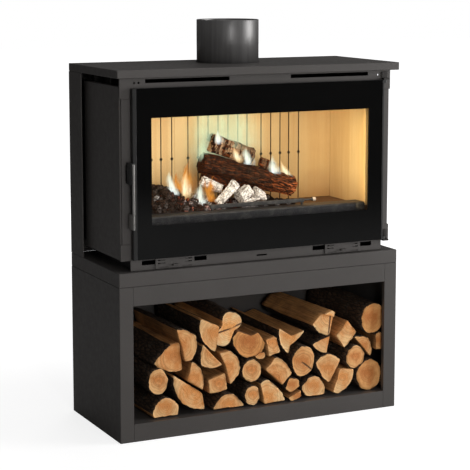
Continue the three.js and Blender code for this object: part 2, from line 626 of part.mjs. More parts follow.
// The spindle runs through the boss and the frame, and ends in a D-shaped cam beside the keeper.
const CAM_RADIUS = 5.2;
const camFlat = block(LATCH_X - 10, LATCH_X - 2, -153, -145, LATCH_Z - 10, LATCH_Z + 10);
const cam = cut(bar([LATCH_X, -152, LATCH_Z], [LATCH_X, -146, LATCH_Z], CAM_RADIUS, 20), camFlat);
add('latch_spindle', join(
  bar([LATCH_X, LEVER_BACK + GAP, LATCH_Z], [LATCH_X, -150, LATCH_Z], PIN_RADIUS, 16), cam,
), stainless);
const KEEPER_LEFT = LATCH_X + CAM_RADIUS + 0.7;
const KEEPER_RIGHT = -BOX_HALF - 2;
const KEEPER_BOTTOM = LATCH_Z - 17;
const KEEPER_TOP = LATCH_Z + 17;
const KEEPER_BACK = BOX_FRONT + 15;
add('latch_keeper', join(
  block(KEEPER_LEFT, KEEPER_RIGHT, BOX_FRONT, BOX_FRONT + SHEET, KEEPER_BOTTOM, KEEPER_TOP),
  block(KEEPER_LEFT, KEEPER_LEFT + SHEET, BOX_FRONT, KEEPER_BACK, KEEPER_BOTTOM, KEEPER_TOP),
), bareSteel);

// ---------------------------------------------------------------- fire

// Two logs burn on a bank of embers that is heaped up at the left.
add('fire_log_main', bar([-117, -25, 738], [154, -62, 662], 33, 14), charred);
add('fire_log_top', bar([-82, 12, 795], [66, 10, 742], 28, 12), charred);
const emberBank = [
  [-332, -92, 604], [-332, 50, 604], [100, -92, 604], [100, 50, 604],
  [-322, -80, 640], [-322, 30, 640], [-300, -66, 660], [-230, -66, 660], [-300, 10, 660], [-230, 10, 660],
  [-115, -80, 640], [-115, 30, 640], [70, -84, 614], [70, 30, 614],
];
add('ember_bed', new ConvexGeometry(emberBank.map((p) => new THREE.Vector3(...p))), embers);

// ---------------------------------------------------------------- firewood

// Split logs lie front to back. Each is [x, z, half width, half height] of its end, and the logs of one
// stack touch, so that each stack is one body.
const LOG_FRONT = -160;
const LOG_BACK = 165;
const LOG_TOUCH = 3; // how far a log's outline is let into its neighbours in the same stack
const stacks = {
  a: [[-293, 89, 42, 38], [-317, 156, 29, 35], [-219, 112, 47, 50], [-202, 160, 27, 42], [-281, 218, 44, 43],
    [-227, 252, 32, 46]],
  b: [[-99, 80, 49, 29], [-134, 130, 31, 34], [-95, 172, 35, 48], [-157, 207, 37, 35], [-160, 271, 33, 44],
    [-95, 281, 40, 50], [-25, 84, 26, 30], [-26, 154, 31, 33], [-31, 233, 50, 45]],
  c: [[37, 87, 39, 36], [104, 88, 29, 36], [173, 89, 40, 37], [59, 142, 40, 43], [40, 218, 25, 31],
    [99, 227, 41, 38], [140, 164, 36, 44], [218, 132, 42, 43], [271, 93, 34, 40], [197, 206, 30, 28],
    [203, 268, 36, 37]],
  d: [[361, 98, 42, 47], [309, 160, 31, 34], [343, 188, 33, 37], [371, 268, 39, 47], [282, 228, 35, 41],
    [398, 194, 18, 28]],
};

// The end is an octagon round the ellipse of the given half sizes, flattened where it meets the store.
function logPrism([x, z, halfWidth, halfHeight], grow) {
  const corners = [];
  const around = 1 / Math.cos(Math.PI / 8);
  for (let i = 0; i < 8; i += 1) {
    const turn = (i + 0.5) * Math.PI / 4;
    const across = x + (halfWidth + grow) * around * Math.cos(turn);
    const up = z + (halfHeight + grow) * around * Math.sin(turn);
    corners.push([
      THREE.MathUtils.clamp(across, -STORE_WALL + 1, STORE_WALL - 1),
      Math.max(up, STORE_FLOOR_TOP + GAP),
    ]);
  }
  return prismY(corners, LOG_FRONT, LOG_BACK);
}

const taken = [];
for (const [name, logs] of Object.entries(stacks)) {
  let stack = joined(...logs.map((log) => logPrism(log, LOG_TOUCH)));
  for (const other of taken) {
    stack = stack.subtract(other);
  }
  add(`firewood_stack_${name}`, fromSolid(stack), firewood);
  taken.push(joined(...logs.map((log) => logPrism(log, LOG_TOUCH + 0.6))));
}

export default stove;
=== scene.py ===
import math
import random

import bpy
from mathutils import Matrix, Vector, noise

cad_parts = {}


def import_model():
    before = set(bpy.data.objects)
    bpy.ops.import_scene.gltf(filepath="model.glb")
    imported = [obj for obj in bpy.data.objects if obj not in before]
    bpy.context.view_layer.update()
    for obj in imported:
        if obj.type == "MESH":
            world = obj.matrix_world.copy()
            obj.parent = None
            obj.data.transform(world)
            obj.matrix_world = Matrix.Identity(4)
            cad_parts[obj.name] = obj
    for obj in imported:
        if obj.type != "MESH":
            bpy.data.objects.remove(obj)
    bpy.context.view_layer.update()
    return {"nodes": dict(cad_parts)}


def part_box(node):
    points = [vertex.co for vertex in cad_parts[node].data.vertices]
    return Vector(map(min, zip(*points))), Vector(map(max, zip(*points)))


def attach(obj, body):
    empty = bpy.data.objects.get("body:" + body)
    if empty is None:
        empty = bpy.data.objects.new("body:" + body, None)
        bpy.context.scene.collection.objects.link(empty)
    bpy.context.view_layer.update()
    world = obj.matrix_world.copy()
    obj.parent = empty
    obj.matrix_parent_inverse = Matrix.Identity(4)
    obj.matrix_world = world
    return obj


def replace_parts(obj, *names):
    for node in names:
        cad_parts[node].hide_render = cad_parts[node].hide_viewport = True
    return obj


# Looks of a wood burning stove on a log store. Metres, +Z up, +Y towards the back.
# The tables below are in millimetres and are scaled by MM where they are used.

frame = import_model()
NODES = frame["nodes"]
MM = 0.001
SEED = 7


# ---------------- node materials

class Finish:
    """A Principled material whose colour, roughness and bump are built from nodes.

    Its textures read the place on the object, or a point attribute of the mesh where one is named."""

    def __init__(self, name, attribute=None):
        self.material = bpy.data.materials.new(name)
        self.material.use_nodes = True
        self.tree = self.material.node_tree
        self.shader = self.tree.nodes["Principled BSDF"]
        if attribute:
            self.point = self.add("ShaderNodeAttribute", attribute_name=attribute).outputs["Vector"]
        else:
            self.point = self.add("ShaderNodeTexCoord").outputs["Object"]

    def add(self, kind, **settings):
        node = self.tree.nodes.new(kind)
        for key, value in settings.items():
            setattr(node, key, value)
        return node

    def feed(self, socket, value):
        if isinstance(value, bpy.types.NodeSocket):
            self.tree.links.new(value, socket)
        else:
            socket.default_value = value

    def run(self, kind, inputs, output, **settings):
        node = self.add(kind, **settings)
        for key, value in inputs.items():
            self.feed(node.inputs[key], value)
        return node.outputs[output]

    def share(self, attribute):
        return self.add("ShaderNodeAttribute", attribute_name=attribute).outputs["Fac"]

    def stretched(self, x, y, z):
        inputs = {"Vector": self.point, "Scale": (x, y, z)}
        return self.run("ShaderNodeMapping", inputs, "Vector")

    def noise(self, scale, detail=3.0, rough=0.6, at=None):
        inputs = {"Vector": at or self.point, "Scale": scale, "Detail": detail, "Roughness": rough}
        return self.run("ShaderNodeTexNoise", inputs, "Fac")

    def cells(self, scale, feature="F1", at=None):
        inputs = {"Vector": at or self.point, "Scale": scale}
        return self.run("ShaderNodeTexVoronoi", inputs, "Distance", feature=feature)

    def span(self, value, low, high, to_low=0.0, to_high=1.0):
        """The value's place between low and high, clamped, from to_low to to_high."""
        inputs = {"Value": value, "From Min": low, "From Max": high, "To Min": to_low, "To Max": to_high}
        return self.run("ShaderNodeMapRange", inputs, "Result", clamp=True)

    def math(self, operation, a, b=0.0):
        node = self.add("ShaderNodeMath", operation=operation)
        self.feed(node.inputs[0], a)
        self.feed(node.inputs[1], b)
        return node.outputs[0]

    def times(self, a, b):
        return self.math("MULTIPLY", a, b)

    def plus(self, a, b):
        return self.math("ADD", a, b)

    def mix(self, share, a, b):
        node = self.add("ShaderNodeMix", data_type="RGBA")
        self.feed(node.inputs["Factor"], share)
        for name, value in (("A", a), ("B", b)):
            socket = [s for s in node.inputs if s.name == name and s.type == "RGBA"][0]
            self.feed(socket, (*value, 1.0) if isinstance(value, tuple) else value)
        return [s for s in node.outputs if s.type == "RGBA"][0]

    def axis(self, name):
        node = self.add("ShaderNodeSeparateXYZ")
        self.feed(node.inputs[0], self.point)
        return node.outputs[name]

    def bump(self, height, distance, under=None):
        inputs = {"Height": height, "Distance": distance, "Strength": 1.0}
        if under:
            inputs["Normal"] = under
        return self.run("ShaderNodeBump", inputs, "Normal")

    def set(self, base_color, roughness, **inputs):
        """Sets the shader's sockets, whose names are written here with _ for each space."""
        inputs.update(base_color=base_color, roughness=roughness)
        for key, value in inputs.items():
            self.feed(self.shader.inputs[key.replace("_", " ").title().replace("Ior", "IOR")], value)
        return self.material


def painted(name, dark, light, roughness, metallic):
    """Stove paint: a fine grain of light specks, faint clouds and a slightly uneven gloss."""
    f = Finish(name)
    cloud = f.span(f.noise(4.0, 2.0), 0.3, 0.7)
    grain = f.noise(1100.0, 2.0, 0.7)
    specks = f.span(grain, 0.58, 0.72, 0.0, 0.35)
    colour = f.mix(specks, f.mix(cloud, dark, light), tuple(1.5 * c for c in light))
    gloss = f.span(f.noise(60.0), 0.3, 0.7, roughness - 0.05, roughness + 0.06)
    return f.set(colour, gloss, metallic=metallic,
                 normal=f.bump(grain, 0.00006, f.bump(f.noise(260.0), 0.00008)))


def pipe_paint():
    """Satin heat-proof paint with a little metal in it, faintly streaked from top to bottom."""
    f = Finish("pipe_paint")
    streaks = f.noise(1.0, 3.0, 0.6, f.stretched(110.0, 110.0, 4.0))
    grain = f.noise(1400.0, 2.0)
    colour = f.mix(f.span(streaks, 0.35, 0.65), (0.165, 0.160, 0.158), (0.205, 0.200, 0.197))
    gloss = f.span(streaks, 0.3, 0.7, 0.34, 0.42)
    return f.set(colour, gloss, metallic=0.6, normal=f.bump(grain, 0.00005))


def bare_steel():
    f = Finish("bare_steel")
    scale = f.noise(14.0, 5.0, 0.7)
    grain = f.noise(700.0, 2.0)
    colour = f.mix(f.span(scale, 0.35, 0.65), (0.035, 0.033, 0.032), (0.075, 0.068, 0.062))
    gloss = f.span(scale, 0.3, 0.7, 0.45, 0.7)
    return f.set(colour, gloss, metallic=0.75, normal=f.bump(grain, 0.00008))


def stainless():
    """Brushed along the lever."""
    f = Finish("stainless")
    brushed = f.noise(1.0, 3.0, 0.6, f.stretched(2400.0, 2400.0, 40.0))
    colour = f.mix(brushed, (0.30, 0.29, 0.28), (0.44, 0.43, 0.41))
    gloss = f.span(brushed, 0.3, 0.7, 0.24, 0.38)
    return f.set(colour, gloss, metallic=1.0, normal=f.bump(brushed, 0.00004))


def cast_iron(name, highlight_from):
    """Cast iron dulled by dust, with a painted highlight: pale beyond the given distance along X, in
    metres.
    """
    f = Finish(name)
    pits = f.noise(420.0, 3.0, 0.7)
    dust = f.span(f.noise(38.0, 5.0, 0.7), 0.48, 0.66, 0.0, 0.55)
    dull = f.mix(dust, (0.034, 0.033, 0.034), (0.115, 0.108, 0.100))
    # Painted highlight: everything beyond that distance along X, which is the guard's knob, is coloured
    # pale.
    colour = f.mix(f.span(f.axis("X"), highlight_from, highlight_from + 0.001), dull, (0.58, 0.47, 0.37))
    gloss = f.span(pits, 0.3, 0.7, 0.36, 0.55)
    return f.set(colour, gloss, metallic=0.45, normal=f.bump(pits, 0.0003))


AIR_HOLES = (-0.236, -0.206, -0.172, -0.121, -0.089, 0.115, 0.147, 0.178, 0.207, 0.240)
AIR_HOLE_Z = 0.743


def vermiculite():
    """Pressed mineral board: flakes and upright bands; painted orange firelight towards the bottom; painted
    shade in the grooves, at the air holes, on the back boards towards the right and on the hearth top.
    """
    f = Finish("vermiculite")
    flakes = f.cells(420.0)
    bands = f.noise(1.0, 3.0, 0.6, f.stretched(42.0, 42.0, 1.5))
    stain = f.noise(7.0, 4.0, 0.6)
    clean = f.mix(f.span(flakes, 0.1, 0.6), (0.76, 0.54, 0.26), (0.83, 0.62, 0.32))
    banded = f.mix(f.span(bands, 0.36, 0.60, 0.45, 0.0), clean, (0.62, 0.36, 0.14))
    # Painted firelight: the boards turn a darker orange towards the bottom, more on the back boards than
    # the side ones, made patchy by the stain noise.
    low = f.plus(f.span(f.axis("Z"), 0.602, 0.70, 0.8, 0.0), f.span(stain, 0.4, 0.7, -0.15, 0.12))
    at_back = f.span(f.axis("Y"), 0.055, 0.058)
    firelit_board = f.mix(f.times(low, f.span(at_back, 0.0, 1.0, 0.45, 1.0)), banded, (0.42, 0.19, 0.07))
    # Painted shade: the back boards turn darker and browner towards the right-hand corner.
    brown = f.times(at_back, f.span(f.axis("X"), 0.05, 0.20, 0.0, 0.45))
    right_shaded = f.mix(brown, firelit_board, (0.50, 0.30, 0.10))
    # Painted shadow: the top of the hearth boards, at 603 mm, is dark brown.
    hearth = f.mix(f.span(f.axis("Z"), 0.6031, 0.6034, 0.92, 0.0), right_shaded, (0.085, 0.034, 0.012))
    # Painted shade: near-black dots at the air holes of the back boards, which fade out by 5.5 mm from
    # their middles.
    aside = 1.0
    for x in AIR_HOLES:
        aside = f.math("MINIMUM", aside, f.math("ABSOLUTE", f.math("SUBTRACT", f.axis("X"), x)))
    above = f.math("SUBTRACT", f.axis("Z"), AIR_HOLE_Z)
    away = f.math("SQRT", f.plus(f.times(aside, aside), f.times(above, above)))
    hole_shade = f.times(at_back, f.span(away, 0.0035, 0.0055, 0.95, 0.0))
    # Painted shade: near black wherever a back board's grooves go deeper than its face.
    groove = f.span(f.axis("Y"), 0.0603, 0.0612)
    colour = f.mix(f.math("MAXIMUM", groove, hole_shade), hearth, (0.04, 0.022, 0.011))
    return f.set(colour, f.span(flakes, 0.0, 0.6, 0.78, 0.95),
                 normal=f.bump(flakes, 0.0003))


def rope_seal():
    f = Finish("rope_seal")
    fibres = f.noise(900.0, 3.0)
    colour = f.mix(fibres, (0.03, 0.03, 0.03), (0.11, 0.11, 0.105))
    return f.set(colour, f.span(fibres, 0.3, 0.7, 0.85, 1.0),
                 normal=f.bump(fibres, 0.0005))


def enamel():
    """The black border fired onto the back of the pane."""
    f = Finish("glass_enamel")
    film = f.noise(9.0, 3.0)
    colour = f.mix(film, (0.0022, 0.0022, 0.0022), (0.0042, 0.0041, 0.0040))
    gloss = f.span(film, 0.3, 0.7, 0.05, 0.09)
    return f.set(colour, gloss, specular_ior_level=0.24)


def clear_pane():
    """Clear ceramic glass: a faint smoky film over what is behind it."""
    f = Finish("glass_clear")
    film = f.span(f.noise(6.0, 3.0), 0.3, 0.7, 0.03, 0.06)
    return f.set((0.02, 0.018, 0.015, 1.0), 0.04, alpha=film)


def end_grain():
    """The sawn end of a log, round its pith: uneven rings, a redder heart, pale sapwood, and on some
    logs cracks that run out from the pith."""
    f = Finish("wood_end", "grain")
    tone, radial, cracked = f.share("tone"), f.share("radial"), f.share("cracked")
    x, z = f.axis("X"), f.axis("Z")
    reach = f.math("SQRT", f.plus(f.times(x, x), f.times(z, z)))
    cloud = f.noise(38.0, 3.0, 0.55)
    bent = f.plus(reach, f.times(cloud, 0.012))
    across = f.add("ShaderNodeCombineXYZ")
    f.feed(across.inputs["X"], bent)
    f.feed(across.inputs["Y"], tone)
    rings = f.noise(230.0, 2.0, 0.7, across.outputs["Vector"])
    fibres = f.noise(520.0, 4.0, 0.75)
    sap = f.mix(tone, (0.72, 0.32, 0.090), (0.98, 0.68, 0.34))
    heart = f.mix(tone, (0.48, 0.14, 0.028), (0.90, 0.38, 0.10))
    outward = f.plus(f.span(radial, 0.25, 0.85), f.span(cloud, 0.35, 0.65, -0.45, 0.45))
    wood = f.mix(outward, heart, sap)
    ringed = f.mix(f.span(rings, 0.44, 0.66, 0.0, 0.58), wood, (0.40, 0.14, 0.035))
    pale = f.mix(tone, (0.80, 0.46, 0.17), (0.97, 0.78, 0.48))
    flecked = f.mix(f.span(fibres, 0.50, 0.75, 0.0, 0.42), ringed, pale)
    rim = f.mix(f.span(radial, 0.90, 0.985, 0.0, 0.75), flecked, pale)
    spokes = f.plus(f.times(f.math("ARCTAN2", z, x), 0.32), f.times(tone, 31.0))
    inputs = {"W": spokes, "Scale": 1.0}
    gap = f.run("ShaderNodeTexVoronoi", inputs, "Distance", voronoi_dimensions="1D",
                feature="DISTANCE_TO_EDGE")
    width = f.times(gap, reach)
    open_gap = f.times(f.span(width, 0.0003, 0.0012, 1.0, 0.0), cracked)
    crack = f.times(open_gap, f.span(cloud, 0.42, 0.50))
    colour = f.mix(crack, rim, (0.10, 0.04, 0.015))
    relief = f.math("SUBTRACT", f.times(fibres, 0.6), crack)
    return f.set(colour, f.span(fibres, 0.3, 0.7, 0.72, 0.9),
                 normal=f.bump(relief, 0.0014))


def split_side():
    """A riven face: long fibres, greyer where it has weathered."""
    f = Finish("wood_split", "grain")
    tone = f.share("tone")
    fibres = f.noise(1.0, 4.0, 0.65, f.stretched(420.0, 9.0, 420.0))
    patches = f.noise(18.0, 4.0, 0.6)
    clean = f.mix(tone, (0.42, 0.17, 0.05), (0.85, 0.42, 0.15))
    aged = f.mix(tone, (0.10, 0.045, 0.018), (0.62, 0.28, 0.09))
    worn = f.mix(f.span(patches, 0.35, 0.62), aged, clean)
    colour = f.mix(f.span(fibres, 0.45, 0.7, 0.0, 0.75), worn, (0.10, 0.04, 0.015))
    return f.set(colour, f.span(fibres, 0.3, 0.7, 0.75, 0.92),
                 normal=f.bump(fibres, 0.0012))


def bark():
    f = Finish("wood_bark", "grain")
    plates = f.cells(1.0, "DISTANCE_TO_EDGE", f.stretched(110.0, 32.0, 110.0))
    rough = f.noise(1.0, 5.0, 0.7, f.stretched(160.0, 50.0, 160.0))
    lichen = f.span(f.noise(30.0, 4.0), 0.58, 0.7, 0.0, 0.5)
    brown = f.mix(rough, (0.030, 0.018, 0.011), (0.115, 0.065, 0.035))
    colour = f.mix(f.span(plates, 0.0, 0.16, 0.9, 0.0), f.mix(lichen, brown, (0.13, 0.11, 0.085)),
                   (0.010, 0.007, 0.005))
    relief = f.plus(f.span(plates, 0.0, 0.25), f.times(rough, 0.5))
    return f.set(colour, f.span(rough, 0.3, 0.7, 0.82, 0.97),
                 normal=f.bump(relief, 0.0022))


def charred_wood():
    """A burning log: char cracked into blocks, brown bark left on it, and a glow where heat is high."""
    f = Finish("charred_wood", "grain")
    heat, pale = f.share("warmth"), f.share("pale")
    cracks = f.cells(1.0, "DISTANCE_TO_EDGE", f.stretched(130.0, 62.0, 130.0))
    fibres = f.noise(1.0, 4.0, 0.7, f.stretched(260.0, 40.0, 260.0))
    char = f.mix(f.span(fibres, 0.47, 0.72), (0.012, 0.005, 0.0025), (0.16, 0.040, 0.010))
    bare = f.mix(fibres, (0.20, 0.08, 0.03), (0.95, 0.64, 0.38))
    bands = f.noise(1.0, 2.0, 0.6, f.stretched(18.0, 95.0, 18.0))
    skin = f.mix(f.times(pale, f.span(bands, 0.46, 0.54)), char, bare)
    colour = f.mix(f.span(cracks, 0.0, 0.05, 0.85, 0.0), skin, (0.008, 0.004, 0.003))
    split = f.span(cracks, 0.0, 0.30, 1.0, 0.15)
    glow = f.times(f.times(heat, split), f.span(fibres, 0.48, 0.72))
    ember = f.mix(glow, (0.72, 0.13, 0.02), (1.0, 0.38, 0.13))
    relief = f.plus(f.span(cracks, 0.0, 0.2), f.times(fibres, 0.6))
    return f.set(colour, f.span(fibres, 0.3, 0.7, 0.7, 0.95),
                 specular_ior_level=0.1,
                 emission_color=ember, emission_strength=f.times(glow, 1.6),
                 normal=f.bump(relief, 0.002))


def ash_wood():
    """Wood burnt to pale ash, with soot in its cracks."""
    f = Finish("ash_wood", "grain")
    heat = f.share("warmth")
    cracks = f.cells(1.0, "DISTANCE_TO_EDGE", f.stretched(120.0, 60.0, 120.0))
    cloud = f.noise(95.0, 5.0, 0.7)
    grey = f.mix(f.span(cloud, 0.36, 0.52), (0.16, 0.12, 0.09), (0.80, 0.76, 0.72))
    colour = f.mix(f.span(cracks, 0.0, 0.08, 0.85, 0.0), grey, (0.035, 0.020, 0.014))
    glow = f.times(heat, f.span(cloud, 0.45, 0.7, 0.0, 1.0))
    relief = f.plus(f.span(cracks, 0.0, 0.2), cloud)
    return f.set(colour, f.span(cloud, 0.3, 0.7, 0.85, 1.0),
                 emission_color=(1.0, 0.42, 0.14, 1.0), emission_strength=f.times(glow, 0.7),
                 normal=f.bump(relief, 0.0016))


def coals():
    """Loose coals: black lumps, some with a coat of ash, some glowing from within."""
    f = Finish("coals")
    heat, ash = f.share("warmth"), f.share("ash")
    facets = f.cells(170.0, "DISTANCE_TO_EDGE")
    grit = f.noise(240.0, 4.0, 0.7)
    black = f.mix(f.span(grit, 0.4, 0.65), (0.006, 0.0035, 0.002), (0.038, 0.019, 0.011))
    dusty = f.mix(f.times(ash, f.span(grit, 0.42, 0.60)), black, (0.55, 0.53, 0.54))
    glow = f.times(heat, f.span(grit, 0.5, 0.72, 0.0, 1.0))
    relief = f.plus(f.span(facets, 0.0, 0.3), grit)
    return f.set(dusty, f.span(grit, 0.3, 0.7, 0.6, 0.95),
                 emission_color=f.mix(glow, (0.8, 0.06, 0.01), (1.0, 0.36, 0.08)),
                 emission_strength=f.times(glow, 1.5), specular_ior_level=0.1,
                 normal=f.bump(relief, 0.0012))


def flame(name, root, body, tip, strength, thickness=1.0, ragged=0.35):
    """A sheet of fire. up runs from its root to its tip, and edge from its middle to its rim."""
    f = Finish(name)
    up, edge = f.share("up"), f.share("edge")
    lick = f.noise(1.0, 3.0, 0.6, f.stretched(70.0, 70.0, 26.0))
    streak = f.noise(1.0, 2.0, 0.5, f.stretched(160.0, 160.0, 18.0))
    middle = f.span(f.plus(edge, f.span(lick, 0.3, 0.7, -ragged, ragged)), 0.0, 0.85, 1.0, 0.0)
    soft = f.math("POWER", middle, 1.5)
    fade = f.times(f.span(up, 0.0, 0.22), f.span(up, 0.40, 1.0, 1.0, 0.0))
    density = f.times(f.times(soft, fade), f.span(streak, 0.3, 0.6, 0.7, 1.0))
    along = f.mix(f.span(up, 0.35, 0.95), f.mix(f.span(up, 0.0, 0.35), root, body), tip)
    colour = f.mix(f.span(middle, 0.0, 0.55), tip, along)
    glow = f.add("ShaderNodeEmission")
    f.feed(glow.inputs["Color"], colour)
    f.feed(glow.inputs["Strength"], strength)
    blend = f.add("ShaderNodeMixShader")
    f.feed(blend.inputs[0], f.times(density, thickness))
    tree = f.tree
    tree.links.new(f.add("ShaderNodeBsdfTransparent").outputs[0], blend.inputs[1])
    tree.links.new(glow.outputs[0], blend.inputs[2])
    tree.nodes.remove(f.shader)
    output = [n for n in tree.nodes if n.type == "OUTPUT_MATERIAL"][0]
    tree.links.new(blend.outputs[0], output.inputs["Surface"])
    return f.material


ANTHRACITE = painted("anthracite_paint", (0.066, 0.060, 0.056), (0.078, 0.071, 0.067), 0.50, 0.15)
BLACK_PAINT = painted("black_paint", (0.010, 0.010, 0.010), (0.014, 0.0135, 0.013), 0.42, 0.1)
PIPE = pipe_paint()
STEEL = bare_steel()
STAINLESS = stainless()
IRON = cast_iron("cast_iron", 1.0)
# Its knob, beyond 0.190 m along X, is coloured pale as a painted highlight.
GUARD_IRON = cast_iron("guard_iron", 0.190)
BOARD = vermiculite()
ROPE = rope_seal()
ENAMEL = enamel()
CLEAR = clear_pane()
WOOD = [end_grain(), split_side(), bark()]
CHARRED = charred_wood()
ASH = ash_wood()
COALS = coals()
YELLOW_FLAME = flame("flame_yellow", (1.0, 0.55, 0.16), (1.0, 0.90, 0.60), (1.0, 0.52, 0.12), 1.5, 0.88)
WHITE_FLAME = flame("flame_white", (0.80, 0.92, 1.0), (0.96, 1.0, 0.84), (0.88, 0.96, 0.70), 1.3, 0.88)
ORANGE_FLAME = flame("flame_orange", (0.85, 0.24, 0.03), (1.0, 0.40, 0.06), (0.70, 0.20, 0.03), 0.85)
HAZE_FLAME = flame("flame_haze", (0.78, 0.97, 0.68), (0.78, 0.97, 0.62), (0.86, 0.96, 0.56), 1.15,
                   0.55, 0.1)


# ---------------- carried-over CAD nodes

def dress(names, material, bevel=0.0):
    """Gives CAD nodes their material, and rounds their sharp edges by bevel metres."""
    for name in names:
        node = NODES[name]
        node.data.materials.clear()
        node.data.materials.append(material)
        if bevel:
            weld = node.modifiers.new("weld", "WELD")
            weld.merge_threshold = 0.00001
            edge = node.modifiers.new("edge", "BEVEL")
            edge.width = bevel
            edge.segments = 2
            edge.limit_method = "ANGLE"
            edge.angle_limit = math.radians(40.0)
            edge.use_clamp_overlap = True


dress(["store_left_side", "store_right_side", "store_floor", "store_header", "store_back", "rear_cover",
       "left_side_panel", "right_side_panel", "air_fascia", "primary_air_slide", "secondary_air_slide",
       "frame_top_rail", "frame_bottom_rail", "frame_left_stile", "frame_right_stile"],
      ANTHRACITE, 0.0008)
dress(["bench_slab", "top_plate"], ANTHRACITE, 0.0005)
dress(["air_plinth", "door_left_stile", "door_right_stile", "door_top_rail", "door_bottom_rail",
       "handle_boss"], BLACK_PAINT, 0.0006)
dress(["firebox_left_wall", "firebox_right_wall", "firebox_back_wall", "firebox_floor", "firebox_roof",
       "flue_spigot", "air_duct", "hearth_support_left", "hearth_support_right", "ash_pan",
       "hinge_bracket_top", "hinge_bracket_bottom", "latch_keeper"], STEEL, 0.0004)
dress(["handle_lever", "handle_grip", "latch_spindle"], STAINLESS, 0.0007)
dress(["grate", "front_ledge"], IRON, 0.0007)
dress(["log_guard"], GUARD_IRON, 0.0007)
dress(["lining_left", "lining_right", "lining_back_left", "lining_back_centre", "lining_back_right",
       "baffle_board", "hearth_board_left", "hearth_board_right"], BOARD, 0.0006)


# ---------------- mesh building

class Build:
    """The points, faces and point values of one piece, which may hold many separate solids."""

    def __init__(self):
        self.points = []
        self.faces = []
        self.slots = []
        self.values = {}

    def point(self, place, **values):
        index = len(self.points)
        self.points.append(tuple(place))
        for key, value in values.items():
            self.values.setdefault(key, {})[index] = value
        return index

    def face(self, corners, slot=0):
        self.faces.append(corners)
        self.slots.append(slot)

    def belt(self, ring, following, slot_of=lambda i: 0):
        """Joins two rings of the same number of points."""
        count = len(ring)
        for i in range(count):
            k = (i + 1) % count
            self.face((ring[i], ring[k], following[k], following[i]), slot_of(i))

    def made(self, name, materials, body, smooth=True):
        mesh = bpy.data.meshes.new(name)
        mesh.from_pydata(self.points, [], self.faces)
        for material in materials:
            mesh.materials.append(material)
        mesh.polygons.foreach_set("material_index", self.slots)
        mesh.polygons.foreach_set("use_smooth", [smooth] * len(self.faces))
        for key, found in self.values.items():
            is_vector = isinstance(next(iter(found.values())), Vector)
            kind, field = ("FLOAT_VECTOR", "vector") if is_vector else ("FLOAT", "value")
            attribute = mesh.attributes.new(key, kind, "POINT")
            for index, value in found.items():
                setattr(attribute.data[index], field, value)
        mesh.validate()
        mesh.update()
        piece = bpy.data.objects.new(name, mesh)
        bpy.context.scene.collection.objects.link(piece)
        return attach(piece, body)


# ---------------- logs

ENDS, RIVEN, BARK = 0, 1, 2
OUTLINE_POINTS = 56


def bulged(corners):
    """The outline through (x, z) or (x, z, bulge) corners, as (x, z, is_bark) points.

    bulge is how far the stretch to the next corner stands out, as a share of its length. A stretch that
    stands out is bark, and a straight one is riven."""
    corners = [(*corner, 0.0)[:3] for corner in corners]
    count = len(corners)
    area = sum(corners[i][0] * corners[(i + 1) % count][1] - corners[(i + 1) % count][0] * corners[i][1]
               for i in range(count))
    outward = 1.0 if area > 0 else -1.0
    points = []
    length = sum(math.dist(corners[i][:2], corners[(i + 1) % count][:2]) for i in range(count))
    for i, (x, z, bulge) in enumerate(corners):
        x2, z2, _ = corners[(i + 1) % count]
        run = math.dist((x, z), (x2, z2))
        steps = max(2, round(OUTLINE_POINTS * run / length))
        for step in range(steps):
            t = step / steps
            lift = 4.0 * bulge * t * (1.0 - t) * outward
            points.append((x + (x2 - x) * t + (z2 - z) * lift, z + (z2 - z) * t - (x2 - x) * lift,
                           bulge > 0.0))
    return points if area > 0 else points[::-1]


def oval(x, z, half_width, half_height, lean=0.0):
    """A round log's outline, as (x, z, is_bark) points, leaning by some degrees."""
    tilt = math.radians(lean)
    points = []
    for i in range(OUTLINE_POINTS):
        turn = 2.0 * math.pi * i / OUTLINE_POINTS
        across, up = half_width * math.cos(turn), half_height * math.sin(turn)
        points.append((x + across * math.cos(tilt) - up * math.sin(tilt),
                       z + across * math.sin(tilt) + up * math.cos(tilt), True))
    return points


def eased(outline):
    """Rounds an outline's corners off a little."""
    count = len(outline)
    return [(0.25 * outline[i - 1][0] + 0.5 * x + 0.25 * outline[(i + 1) % count][0],
             0.25 * outline[i - 1][1] + 0.5 * z + 0.25 * outline[(i + 1) % count][1],
             is_bark) for i, (x, z, is_bark) in enumerate(outline)]


def wobble(place, scale, size):
    return size * noise.noise(Vector(place) * scale)


